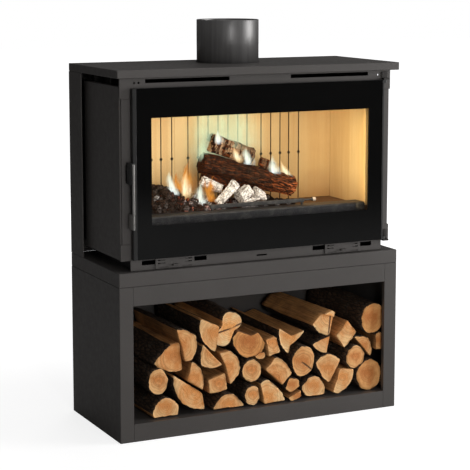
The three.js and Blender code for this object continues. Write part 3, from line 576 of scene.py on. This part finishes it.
def add_log(build, outline, start, end, pith, seed, values, relief, steps=16, sawn=True,
            slots=(ENDS, RIVEN, BARK)):
    """A log with this end outline, in metres from its axis, whose axis runs from start to end.

    The outline's first number runs along `across` and its second along `up`. The rim of each end is
    broken by a millimetre or two, and the sides and the ends carry relief metres of relief."""
    axis = (end - start).normalized()
    side = Vector((1.0, 0.0, 0.0)) if abs(axis.y) > abs(axis.x) else Vector((0.0, -1.0, 0.0))
    across = (side - axis * side.dot(axis)).normalized()
    up = axis.cross(across) if abs(axis.y) <= abs(axis.x) else across.cross(axis)
    if up.z < 0.0:
        up = -up
    span = (end - start).length
    count = len(outline)
    reach = max(math.hypot(u - pith[0], v - pith[1]) for u, v, _ in outline)
    middle = (sum(u for u, _, _ in outline) / count, sum(v for _, v, _ in outline) / count)
    tilt = random.Random(seed)
    slope = (tilt.uniform(-0.07, 0.07), tilt.uniform(-0.07, 0.07))
    rim = 0.0014

    def placed(u, v, along):
        return start + axis * along + across * u + up * v

    def point(u, v, along):
        local = Vector((u - pith[0], along, v - pith[1]))
        radial = min(1.0, math.hypot(local.x, local.z) / reach)
        extra = {key: value(along / span, u, v) if callable(value) else value
                 for key, value in values.items()}
        return build.point(placed(u, v, along), grain=local, radial=radial, **extra)

    def side_ring(along, shrink):
        ring = []
        for u, v, is_bark in outline:
            du, dv = u - middle[0], v - middle[1]
            far = math.hypot(du, dv) or 1e-6
            rough = relief if is_bark else 0.45 * relief
            place = (u, along * 0.22, v + seed)
            bump = wobble(place, 95.0, rough) + wobble(place, 38.0, 1.3 * rough)
            scale = 1.0 + (bump - shrink) / far
            ring.append(point(middle[0] + du * scale, middle[1] + dv * scale, along))
        return ring

    def end_cap(edge, along, inward):
        last = edge
        for share in (0.93, 0.74, 0.52, 0.28):
            ring = []
            for u, v, _ in outline:
                du, dv = (u - middle[0]) * share, (v - middle[1]) * share
                lean = slope[0] * du + slope[1] * dv
                rough = wobble((du, seed, dv), 160.0, 0.0011 if sawn else 0.004)
                ring.append(point(middle[0] + du, middle[1] + dv, along + inward * (lean + rough)))
            order = (last, ring) if inward > 0 else (ring, last)
            build.belt(*order, slot_of=lambda i: slots[ENDS])
            last = ring
        hub = point(middle[0], middle[1], along)
        for i in range(count):
            k = (i + 1) % count
            corners = (last[i], last[k], hub)
            build.face(corners if inward > 0 else corners[::-1], slots[ENDS])

    stations = [0.0, rim] + [span * (i + 1) / (steps + 1) for i in range(steps)] + [span - rim, span]
    rings = [side_ring(at, rim if at in (0.0, span) else 0.0) for at in stations]
    for near, far in zip(rings, rings[1:]):
        build.belt(far, near, slot_of=lambda i: slots[BARK] if outline[i][2] else slots[RIVEN])
    end_cap(rings[0], 0.0, 1.0)
    end_cap(rings[-1], span, -1.0)


# The ends of the logs in the store, in millimetres from the middle of the store and from the floor.
# Each is (stack, tone, pith, outline), and the outline is corners, some with a bulge, or one oval.
# The numbers were measured from the photo. report.md says how, and which rule that breaks.
FIREWOOD = [
    ("a", 0.35, (-262, 218), [(-328, 206, 0.04), (-272, 258), (-249, 258), (-239, 178, 0.12)]),
    ("a", 0.40, (-250, 250), [(-260, 300, 0.38), (-213, 206), (-235, 204), (-249, 258)]),
    ("b", 0.60, (-134, 268), [(-186, 321), (-129, 294), (-137, 241), (-143, 223, 0.21)]),
    ("b", 1.00, (-95, 282), [(-113, 327, 0.1), (-99, 332, 0.1), (-65, 320, 0.1), (-55, 292, 0.1),
        (-78, 277), (-91, 248, 0.1), (-106, 235, 0.1), (-127, 234, 0.1), (-136, 248, 0.1),
        (-132, 275, 0.1), (-116, 292), (-118, 313, 0.1)]),
    ("b", 0.55, (-146, 214), [(-181, 248), (-120, 182, 0.48)]),
    ("b", 0.50, (-104, 172), [(-129, 218), (-96, 221, 0.33), (-96, 122), (-110, 173)]),
    ("b", 0.45, (-28, 156), oval(-27, 155, 31, 33)),
    ("b", 0.06, (-32, 236), [(-84, 254, 0.05), (-68, 273), (-26, 256), (-3, 263), (17, 229, 0.05),
        (10, 204, 0.05), (-26, 192, 0.05), (-50, 196, 0.08), (-81, 230, 0.05)]),
    ("b", 0.30, (0, 200), [(-14, 193), (-1, 203), (15, 203, 0.1), (17, 190, 0.1), (8, 183, 0.1)]),
    ("c", 0.55, (40, 226), [(18, 240), (47, 249, 0.03), (64, 200), (27, 189)]),
    ("c", 0.80, (96, 236), [(61, 269), (101, 242), (143, 255, 0.06), (107, 221), (97, 217),
        (91, 188, 0.14)]),
    ("c", 0.45, (46, 120), [(16, 153), (50, 187, 0.12), (101, 132), (71, 100)]),
    ("c", 0.30, (138, 160), oval(140, 164, 36, 45, -6.0)),
    ("c", 0.66, (228, 290), [(167, 268), (195, 294), (230, 302), (240, 297), (225, 231, 0.12)]),
    ("c", 1.00, (222, 286), [(203, 296.5), (231, 304), (243, 298), (240, 284), (222, 290)]),
    ("c", 0.50, (216, 222), [(167, 210, 0.05), (226, 228), (215, 179, 0.1)]),
    ("d", 0.65, (300, 260), [(249, 227), (286, 270), (316, 233, 0.05), (277, 188)]),
    ("d", 0.10, (368, 268), oval(371, 268, 39, 47, -10.0)),
    ("d", 0.30, (336, 184), [(309, 217, 0.36), (365, 153)]),
    ("d", 0.20, (394, 196), [(382, 218, 0.1), (394, 223, 0.2), (411, 211), (413, 172), (382, 172)]),
    ("d", 0.28, (311, 158), oval(310, 159, 31, 34)),
    ("d", 0.15, (358, 100), oval(361, 98, 42, 47, -12.0)),
    ("d", 0.35, (412, 90), [(406, 120, 0.1), (424, 118, 0.1), (422, 56, 0.1), (407, 58, 0.1)]),
    ("c", 0.50, (222, 130), [(179, 158, 0.1), (222, 178, 0.06), (262, 154), (236, 108), (225, 90),
        (212, 98, 0.05)]),
    ("c", 0.70, (268, 100), [(259, 127), (306, 123, 0.2), (250, 57), (236, 60)]),
    ("c", 0.60, (176, 84), [(136, 88, 0.42), (213, 81), (213, 56), (157, 56, 0.1)]),
    ("c", 0.20, (104, 96), [(84, 84, 0.1), (96, 119, 0.1), (126, 107, 0.1), (128, 90), (100, 74)]),
    ("c", 0.35, (120, 62), [(90, 62), (130, 80), (132, 62, 0.1), (104, 53, 0.1)]),
    ("b", 0.80, (20, 70), [(-2, 119, 0.06), (24, 122, 0.1), (78, 56), (12, 54)]),
    ("b", 0.55, (-24, 84), oval(-26, 83, 24, 28)),
    ("b", 0.65, (-98, 62), [(-150, 55, 0.42), (-50, 55)]),
    ("b", 0.45, (-130, 128), [(-164, 143), (-112, 158), (-104, 111), (-129, 104), (-160, 104)]),
    ("a", 0.50, (-208, 152), [(-213, 203, 0.18), (-180, 116), (-228, 148)]),
    ("a", 0.70, (-206, 112), [(-270, 169), (-181, 107), (-174, 60, 0.24)]),
    ("a", 0.45, (-314, 158), oval(-316, 156, 29, 37, 8.0)),
    ("a", 0.60, (-292, 80), [(-334, 69, 0.40), (-252, 81), (-254, 54), (-329, 54)]),
]
LOG_RELIEF = 0.0026


def firewood(stack):
    """All the logs of one stack, each with its own skew, so that no two lie quite alike."""
    low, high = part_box(f"firewood_stack_{stack}")
    build = Build()
    for number, (home, tone, pith, outline) in enumerate(FIREWOOD):
        if home != stack:
            continue
        chance = random.Random(SEED * 100 + number)
        if len(outline) != OUTLINE_POINTS:
            outline = eased(bulged(outline))
        centre = (sum(p[0] for p in outline) / len(outline), sum(p[1] for p in outline) / len(outline))
        local = [((x - centre[0]) * MM, (z - centre[1]) * MM, is_bark) for x, z, is_bark in outline]
        start = Vector((centre[0] * MM, low.y - chance.uniform(0.0, 0.010), centre[1] * MM))
        drift = Vector((chance.uniform(-0.008, 0.008), 0.0, chance.uniform(-0.004, 0.004)))
        end = Vector((start.x, high.y - chance.uniform(0.0, 0.02), start.z)) + drift
        heart = ((pith[0] - centre[0]) * MM, (pith[1] - centre[1]) * MM)
        cracked = 1.0 if chance.random() < 0.18 or (home == "c" and pith == (138, 160)) else 0.0
        values = {"tone": tone, "cracked": cracked}
        add_log(build, local, start, end, heart, number * 3.1, values, LOG_RELIEF)
    pile = build.made(f"firewood_{stack}", WOOD, "body")
    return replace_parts(pile, f"firewood_stack_{stack}")


for stack in "abcd":
    firewood(stack)


# ---------------- fire

def fire_outline(radius, flats, seed):
    """A half-burnt log's outline in metres: round, with some flattened and hollowed stretches."""
    points = []
    for i in range(OUTLINE_POINTS):
        turn = 2.0 * math.pi * i / OUTLINE_POINTS
        ripple = 1.0 + 0.10 * math.sin(2.0 * turn + seed) + 0.05 * math.sin(5.0 * turn + 2.0 * seed)
        reach = radius * ripple
        for flat in flats:
            off = math.cos(turn - math.radians(flat))
            if off > 0.75:
                reach = min(reach, 0.80 * radius / off)
        points.append((reach * math.cos(turn), reach * math.sin(turn), True))
    return points


def burning_log(name, start, end, radius, flats, seed, heat, pale, material, node=None, relief=0.006):
    build = Build()
    values = {"warmth": heat, "pale": pale}
    add_log(build, fire_outline(radius, flats, seed), Vector(start) * MM, Vector(end) * MM, (0.0, 0.0),
            seed, values, relief, steps=34, sawn=False, slots=(0, 0, 0))
    log = build.made(name, [material], "body")
    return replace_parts(log, node) if node else log


burning_log("burning_log_main", (-119, -25, 738), (156, -62, 661), 0.032, (60, 250), 1.3,
            lambda t, u, v: 0.03 + 0.97 * max(0.0, (t - 0.62) / 0.38), 0.02, CHARRED, "fire_log_main")
burning_log("burning_log_top", (-74, 12, 793), (58, 10, 744), 0.027, (90, 200), 4.1,
            lambda t, u, v: 0.15 * math.sin(math.pi * t), lambda t, u, v: 1.0 - 0.7 * t, CHARRED,
            "fire_log_top")
burning_log("burning_log_under", (-116, -30, 697), (34, -42, 645), 0.019, (90, 270), 6.6, 0.15, 0.0,
            CHARRED)
burning_log("burnt_stub", (74, -12, 730), (112, -26, 712), 0.014, (30,), 2.2, 0.3, 0.25, CHARRED,
            relief=0.004)
burning_log("ash_log_slanting", (-98, -88, 628), (-38, -78, 684), 0.0125, (120,), 3.4,
            lambda t, u, v: 0.35 * (1.0 - t), 0.5, ASH, relief=0.0035)
burning_log("ash_chunk_left", (-32, -88, 642), (4, -80, 662), 0.020, (90, 300), 5.0, 0.12, 0.5, ASH,
            relief=0.005)
burning_log("ash_chunk_right", (18, -88, 650), (50, -82, 636), 0.017, (40, 220), 8.2, 0.2, 0.5, ASH,
            relief=0.005)
burning_log("ash_stick", (-26, -98, 628), (34, -96, 639), 0.006, (40,), 6.1, 0.45, 0.5, ASH,
            relief=0.0018)
burning_log("ash_log_behind", (-128, -44, 690), (-70, -56, 664), 0.015, (10, 190), 7.7, 0.1, 0.5, ASH,
            relief=0.004)


BED_PROFILE = [(-345, 668), (-320, 675), (-280, 677), (-248, 675), (-223, 668), (-183, 653), (-147, 645),
               (-122, 638), (-86, 627), (-40, 621), (40, 619), (90, 614), (140, 608)]
BED_FRONT, BED_BACK = -101, 56
BED_LEFT, BED_RIGHT = -345.0, 150.0
BED_BOTTOM = 603.6
BED_RIM = 607.0  # the height that the heap falls to at its front


def bed_height(x, y):
    """The top of the coals in millimetres: a heap at the left that runs out to the right."""
    crest = BED_PROFILE[-1][1]
    for (x0, z0), (x1, z1) in zip(BED_PROFILE, BED_PROFILE[1:]):
        if x <= x1:
            crest = z0 + (z1 - z0) * max(0.0, (x - x0) / (x1 - x0))
            break
    front = max(0.0, min(1.0, (y - BED_FRONT) / 48.0)) ** 0.6
    back = max(0.0, min(1.0, (BED_BACK - y) / 50.0)) ** 0.7
    return BED_RIM + (crest - BED_RIM) * front * (0.45 + 0.55 * back)


def add_lump(build, centre, size, chance, heat, ash):
    """One coal: a rough ball squashed unevenly, with 5 rows of 8 points."""
    rows, around = 5, 8
    squash = [size * chance.uniform(0.65, 1.15) for _ in range(3)]
    offset = Vector((chance.random(), chance.random(), chance.random())) * 40.0
    turn = chance.uniform(0.0, math.pi)

    def spot(latitude, longitude):
        v = Vector((math.cos(latitude) * math.cos(longitude), math.cos(latitude) * math.sin(longitude),
                    math.sin(latitude)))
        v *= 1.0 + 0.45 * noise.noise(v * 1.9 + offset)
        v = Vector((v.x * squash[0], v.y * squash[1], v.z * squash[2]))
        x = v.x * math.cos(turn) - v.z * math.sin(turn)
        z = v.x * math.sin(turn) + v.z * math.cos(turn)
        return build.point(centre + Vector((x, v.y, z)), warmth=heat, ash=ash)

    bottom, top = spot(-math.pi / 2, 0.0), spot(math.pi / 2, 0.0)
    rings = []
    for r in range(rows):
        latitude = math.pi * ((r + 1) / (rows + 1) - 0.5)
        rings.append([spot(latitude, 2.0 * math.pi * i / around) for i in range(around)])
    for low, high in zip(rings, rings[1:]):
        build.belt(low, high)
    for i in range(around):
        k = (i + 1) % around
        build.face((rings[0][k], rings[0][i], bottom))
        build.face((rings[-1][i], rings[-1][k], top))


def add_core(build):
    """The mass of the heap under the loose coals: a height field closed down to the hearth."""
    columns, rows = 60, 18
    left, right = BED_LEFT + 3.0, BED_RIGHT - 12.0
    lowest_top = BED_BOTTOM + 0.4
    grids = []
    for is_top in (True, False):
        grid = []
        for c in range(columns + 1):
            x = left + (right - left) * c / columns
            line = []
            for r in range(rows + 1):
                y = BED_FRONT + (BED_BACK - BED_FRONT) * r / rows
                z = BED_BOTTOM
                if is_top:
                    dip = 3.0 * noise.noise(Vector((x, y, 0.0)) * 0.08)
                    z = max(bed_height(x, y) - 3.0 + dip, lowest_top)
                line.append(build.point(Vector((x, y, z)) * MM, warmth=0.0, ash=0.04))
            grid.append(line)
        grids.append(grid)
    top, bottom = grids
    for c in range(columns):
        for r in range(rows):
            build.face((top[c][r], top[c + 1][r], top[c + 1][r + 1], top[c][r + 1]))
            build.face((bottom[c][r], bottom[c][r + 1], bottom[c + 1][r + 1], bottom[c + 1][r]))
        build.face((top[c][0], bottom[c][0], bottom[c + 1][0], top[c + 1][0]))
        build.face((top[c][rows], top[c + 1][rows], bottom[c + 1][rows], bottom[c][rows]))
    for r in range(rows):
        build.face((top[0][r], top[0][r + 1], bottom[0][r + 1], bottom[0][r]))
        build.face((top[columns][r], bottom[columns][r], bottom[columns][r + 1], top[columns][r + 1]))


def ember_bed():
    chance = random.Random(SEED)
    build = Build()
    add_core(build)
    for _ in range(1500):
        x = chance.uniform(BED_LEFT + 7.0, BED_RIGHT - 8.0)
        y = BED_FRONT + (BED_BACK - BED_FRONT) * chance.random() ** 1.4
        size = chance.choice((4.0, 5.0, 6.0, 7.5, 10.0)) * chance.uniform(0.8, 1.15)
        z = bed_height(x, y) + chance.uniform(-0.4, 0.25) * size
        ashy = 0.16 * math.exp(-((x + 165.0) / 30.0) ** 2) + 0.60 * math.exp(-((x + 30.0) / 110.0) ** 2)
        ash = 0.15 * chance.random() ** 4.0 + (0.75 if chance.random() < ashy else 0.0)
        heat = chance.random() ** 4 * math.exp(-((x + 130.0) / 80.0) ** 2)
        margin = 1.2 * size
        place = Vector((min(max(x, BED_LEFT + margin), BED_RIGHT),
                        min(max(y, BED_FRONT + 0.6 * margin), BED_BACK + 2.0 - margin),
                        max(z, BED_BOTTOM + size)))
        add_lump(build, place * MM, size * MM, chance, heat, ash)
    bed = build.made("ember_bed_coals", [COALS], "body", smooth=False)
    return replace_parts(bed, "ember_bed")


ember_bed()


FIREBOX_CEILING = 898
FLAME_FACING = 25.9  # degrees from the front, about where the camera stands
FLAME_CROSSING = 70.0  # degrees between the two sheets of a flame


def add_flame(name, root, tip, width, sway, material):
    """Curved sheets from root to tip, in millimetres, that bulge low down and end in a point: one for the
    haze, and two that cross for a flame. Points above the firebox are lowered to its ceiling."""
    build = Build()
    rows, columns = 14, 8
    a, b = Vector(root) * MM, Vector(tip) * MM
    for crossing in ((0.0,) if material is HAZE_FLAME else (0.0, FLAME_CROSSING)):
        facing = math.radians(FLAME_FACING + crossing)
        across = Vector((math.cos(facing), -math.sin(facing), 0.0))
        grid = []
        for r in range(rows + 1):
            up = r / rows
            half = width * MM * 0.62 * (math.sin(math.pi * min(1.0, up + 0.18)) ** 0.8) * (1.0 - 0.55 * up)
            if r == rows:
                half = 0.0004
            centre = a.lerp(b, up) + across * (sway * MM * math.sin(2.4 * math.pi * up))
            row = []
            for c in range(columns + 1):
                s = 2.0 * c / columns - 1.0
                curl = 0.22 * half * (1.0 - s * s)
                place = centre + across * (half * s) + across.cross(Vector((0.0, 0.0, 1.0))) * curl
                place.z = min(place.z, FIREBOX_CEILING * MM)
                row.append(build.point(place, up=up, edge=abs(s)))
            grid.append(row)
        for low, high in zip(grid, grid[1:]):
            for c in range(columns):
                build.face((low[c], low[c + 1], high[c + 1], high[c]))
    piece = build.made(f"flame_{name}", [material], "body")
    piece.visible_shadow = False
    return piece


FLAMES = [
    ("left", (-224, -62, 655), (-236, -62, 738), 40, 2, WHITE_FLAME),
    ("left_low", (-214, -66, 652), (-226, -66, 702), 32, 1, WHITE_FLAME),
    ("heap_orange", (-178, -36, 655), (-156, -34, 764), 78, 5, ORANGE_FLAME),
    ("heap_red", (-196, -42, 655), (-204, -40, 730), 60, 3, ORANGE_FLAME),
    ("heap", (-186, -66, 640), (-180, -64, 738), 56, 3, YELLOW_FLAME),
    ("mid", (-146, -74, 612), (-138, -72, 706), 56, 3, WHITE_FLAME),
    ("mid_orange", (-112, -76, 622), (-132, -72, 716), 44, 4, ORANGE_FLAME),
    ("log_end", (-116, -62, 650), (-92, -60, 716), 36, 3, ORANGE_FLAME),
    ("top_log", (34, -26, 716), (22, -24, 788), 56, 2, WHITE_FLAME),
    ("top_log_left", (2, -24, 728), (-16, -22, 790), 40, 2, YELLOW_FLAME),
    ("right", (98, -58, 688), (92, -58, 766), 50, 2, WHITE_FLAME),
    ("right_tall", (146, -62, 676), (112, -58, 752), 34, 2, YELLOW_FLAME),
    ("right_end", (152, -64, 664), (142, -62, 716), 34, 1, WHITE_FLAME),
    ("upper", (-60, -20, 786), (-62, -16, 836), 34, 2, WHITE_FLAME),
    ("upper_left", (-122, -24, 740), (-104, -18, 830), 44, 4, HAZE_FLAME),
    ("haze_left", (-84, 34, 700), (-80, 36, 1010), 150, 3, HAZE_FLAME),
    ("haze_middle", (-30, 28, 720), (-26, 30, 1030), 200, 3, HAZE_FLAME),
    ("haze_right", (34, 40, 730), (36, 42, 980), 190, 3, HAZE_FLAME),
]
for flame_row in FLAMES:
    add_flame(*flame_row)


# ---------------- door

def glazing():
    """The pane in two pieces: the enamelled border and the clear window inside it."""
    low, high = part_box("door_glass")
    window_low, window_high = (-0.3365, 0.5945), (0.3405, 0.8875)
    front, back = low.y, high.y
    middle_z = (low.z + high.z) / 2.0
    border = Build()
    bevel = 0.0006
    corners = []
    for (x0, z0), (x1, z1) in (((low.x, low.z), (high.x, high.z)), (window_low, window_high)):
        corners.append([(x0, z0), (x1, z0), (x1, z1), (x0, z1)])
    outer, inner = corners
    inset = [(x + (bevel if x < 0 else -bevel), z + (bevel if z < middle_z else -bevel)) for x, z in outer]
    rings = []
    for y, outline in ((front + bevel, outer), (front, inset), (front, inner), (back, inner), (back, inset),
                       (back - bevel, outer)):
        rings.append([border.point((x, y, z)) for x, z in outline])
    for near, far in zip(rings, rings[1:] + rings[:1]):
        border.belt(far, near)
    piece = border.made("door_glass_border", [ENAMEL], "door", smooth=False)
    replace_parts(piece, "door_glass")
    pane = Build()
    gap, sunk = 0.0001, 0.0002
    (x0, z0), (x1, z1) = window_low, window_high
    rings = []
    for y in (front + sunk, back - sunk):
        rings.append([pane.point((x, y, z)) for x, z in (
            (x0 + gap, z0 + gap), (x1 - gap, z0 + gap), (x1 - gap, z1 - gap), (x0 + gap, z1 - gap))])
    pane.belt(rings[1], rings[0])
    pane.face(tuple(rings[0]))
    pane.face(tuple(rings[1][::-1]))
    clear = pane.made("door_glass_window", [CLEAR], "door", smooth=False)
    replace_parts(clear, "door_glass")


def rope():
    """The braided seal: a flattened tube round the mouth, whose strands wind round it."""
    low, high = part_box("door_seal")
    half_thick = (high.y - low.y) / 2.0
    half_wide = 0.006
    x0, x1, z0, z1 = low.x + half_wide, high.x - half_wide, low.z + half_wide, high.z - half_wide
    y = (low.y + high.y) / 2.0
    corner = 0.012
    path = []
    for cx, cz, start in ((x1 - corner, z0 + corner, -90), (x1 - corner, z1 - corner, 0),
                          (x0 + corner, z1 - corner, 90), (x0 + corner, z0 + corner, 180)):
        for i in range(7):
            turn = math.radians(start + 15.0 * i)
            path.append(Vector((cx + corner * math.cos(turn), y, cz + corner * math.sin(turn))))
    dense = []
    step = 0.004
    for a, b in zip(path, path[1:] + path[:1]):
        parts = max(1, round((b - a).length / step))
        dense += [a.lerp(b, i / parts) for i in range(parts)]
    build = Build()
    rings = []
    around = 12
    strands, twist, depth = 3.0, 1.3, 0.07
    for i, here in enumerate(dense):
        along = (dense[(i + 1) % len(dense)] - dense[i - 1]).normalized()
        out = along.cross(Vector((0.0, 1.0, 0.0)))
        ring = []
        for k in range(around):
            turn = 2.0 * math.pi * k / around
            strand = 1.0 - depth * (1.0 + math.sin(strands * turn + twist * i))
            ring.append(build.point(here + out * (half_wide * strand * math.cos(turn))
                                    + Vector((0.0, half_thick * strand * math.sin(turn), 0.0))))
        rings.append(ring)
    for near, far in zip(rings, rings[1:] + rings[:1]):
        build.belt(near, far)
    piece = build.made("door_seal_rope", [ROPE], "door")
    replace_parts(piece, "door_seal")


glazing()
rope()


# ---------------- flue pipe

def pipe():
    """The flue pipe turned fine, with a rolled top edge and a lap seam at the back."""
    low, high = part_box("flue_pipe")
    centre = (low + high) / 2.0
    radius = (high.x - low.x) / 2.0
    wall = 0.002
    around = 192
    seam_height, seam_half_angle = 0.0004, 0.06
    drawn_in = 0.0005  # leaves room for the seam inside the CAD pipe's box
    profile = [(radius - wall, low.z), (radius, low.z + 0.0004), (radius, high.z - 0.0012),
               (radius - 0.0004, high.z - 0.0003), (radius - 0.001, high.z),
               (radius - 0.0016, high.z - 0.0003), (radius - wall, high.z - 0.0012)]
    build = Build()
    rings = []
    for reach, z in profile:
        ring = []
        for i in range(around):
            turn = 2.0 * math.pi * i / around
            is_seam = reach > radius - 0.0009 and abs(turn - math.pi / 2.0) < seam_half_angle
            far = reach - drawn_in + (seam_height if is_seam else 0.0)
            ring.append(build.point((centre.x + far * math.cos(turn), centre.y + far * math.sin(turn), z)))
        rings.append(ring)
    for near, far in zip(rings, rings[1:] + rings[:1]):
        build.belt(near, far)
    piece = build.made("flue_pipe_shell", [PIPE], "body")
    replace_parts(piece, "flue_pipe")
    for polygon in piece.data.polygons:
        polygon.use_smooth = abs(polygon.normal.z) < 0.5


pipe()


# ---------------- stage, light and camera

def stage():
    """A plain pale floor that fades into the white background."""
    bpy.ops.mesh.primitive_plane_add(size=40.0, location=(0.0, 0.0, 0.0))
    floor = bpy.context.object
    floor.name = "floor"
    f = Finish("floor")
    seen = f.add("ShaderNodeLightPath").outputs["Is Camera Ray"]
    away = f.run("ShaderNodeVectorMath", {0: f.point}, "Value", operation="LENGTH")
    whiter = f.span(away, 0.7, 3.5, 0.80, 1.05)
    pale = f.mix(f.noise(3.0), (0.44, 0.44, 0.44), (0.46, 0.46, 0.46))
    floor.data.materials.append(f.set(pale, 0.9, emission_color=(1.0, 1.0, 1.0, 1.0),
                                      emission_strength=f.times(seen, whiter)))


def lamp(name, place, target, size, power, colour=(1.0, 1.0, 1.0)):
    light = bpy.data.lights.new(name, "AREA")
    light.shape = "RECTANGLE"
    light.size, light.size_y = size
    light.energy = power
    light.color = colour
    lamp_object = bpy.data.objects.new(name, light)
    lamp_object.location = place
    lamp_object.rotation_euler = (Vector(target) - Vector(place)).to_track_quat("-Z", "Y").to_euler()
    bpy.context.scene.collection.objects.link(lamp_object)
    lamp_object.visible_camera = False
    return lamp_object


def world():
    """White to the camera, and a weak even light to everything else."""
    scene_world = bpy.data.worlds.new("world")
    scene_world.use_nodes = True
    bpy.context.scene.world = scene_world
    tree = scene_world.node_tree
    seen, even = tree.nodes["Background"], tree.nodes.new("ShaderNodeBackground")
    seen.inputs["Color"].default_value = (1.0, 1.0, 1.0, 1.0)
    seen.inputs["Strength"].default_value = 1.0
    even.inputs["Color"].default_value = (1.0, 0.99, 0.98, 1.0)
    even.inputs["Strength"].default_value = 0.11
    rays, blend = tree.nodes.new("ShaderNodeLightPath"), tree.nodes.new("ShaderNodeMixShader")
    tree.links.new(rays.outputs["Is Camera Ray"], blend.inputs[0])
    tree.links.new(even.outputs[0], blend.inputs[1])
    tree.links.new(seen.outputs[0], blend.inputs[2])
    tree.links.new(blend.outputs[0], tree.nodes["World Output"].inputs["Surface"])


def lights():
    target = (0.0, 0.0, 0.6)
    lamp("key", (3.3, -1.75, 1.25), target, (1.7, 2.5), 90.0)
    lamp("strip", (-0.95, -4.2, 1.1), target, (0.35, 2.2), 22.0)
    lamp("top", (0.5, -0.6, 3.4), target, (2.4, 1.8), 20.0)
    lamp("front", (-0.3, -4.4, 1.0), target, (2.2, 1.6), 48.0).visible_glossy = False
    lamp("back", (1.9, 3.8, 2.3), target, (2.6, 2.0), 60.0).visible_glossy = False
    lamp("fire_front", (-0.02, -0.1555, 0.75), (-0.02, 0.1, 0.74), (0.60, 0.24), 0.76, (1.0, 0.92, 0.74))
    lamp("fire_right", (0.20, -0.105, 0.75), (0.34, -0.125, 0.72), (0.08, 0.22), 0.18, (1.0, 0.80, 0.43))
    lamp("fire_edge", (0.318, -0.166, 0.74), (0.36, -0.15, 0.74), (0.02, 0.28), 0.07, (1.0, 0.78, 0.43))


def camera():
    """Seen from 26 degrees to the left of the front, a little above the top plate."""
    turned, down = 0.4523, 0.1388
    lens = bpy.data.cameras.new("camera")
    lens.lens = 121.05
    lens.sensor_width = 36.0
    lens.shift_y = -0.1
    eye = bpy.data.objects.new("camera", lens)
    eye.location = (-1.979, -4.074, 1.2883)
    eye.rotation_euler = (math.pi / 2.0 - down, 0.0, -turned)
    bpy.context.scene.collection.objects.link(eye)
    bpy.context.scene.camera = eye


stage()
world()
lights()
camera()
bpy.context.scene.view_settings.view_transform = "Standard"
bpy.context.scene.cycles.use_denoising = True
bpy.context.scene.cycles.transparent_max_bounces = 24
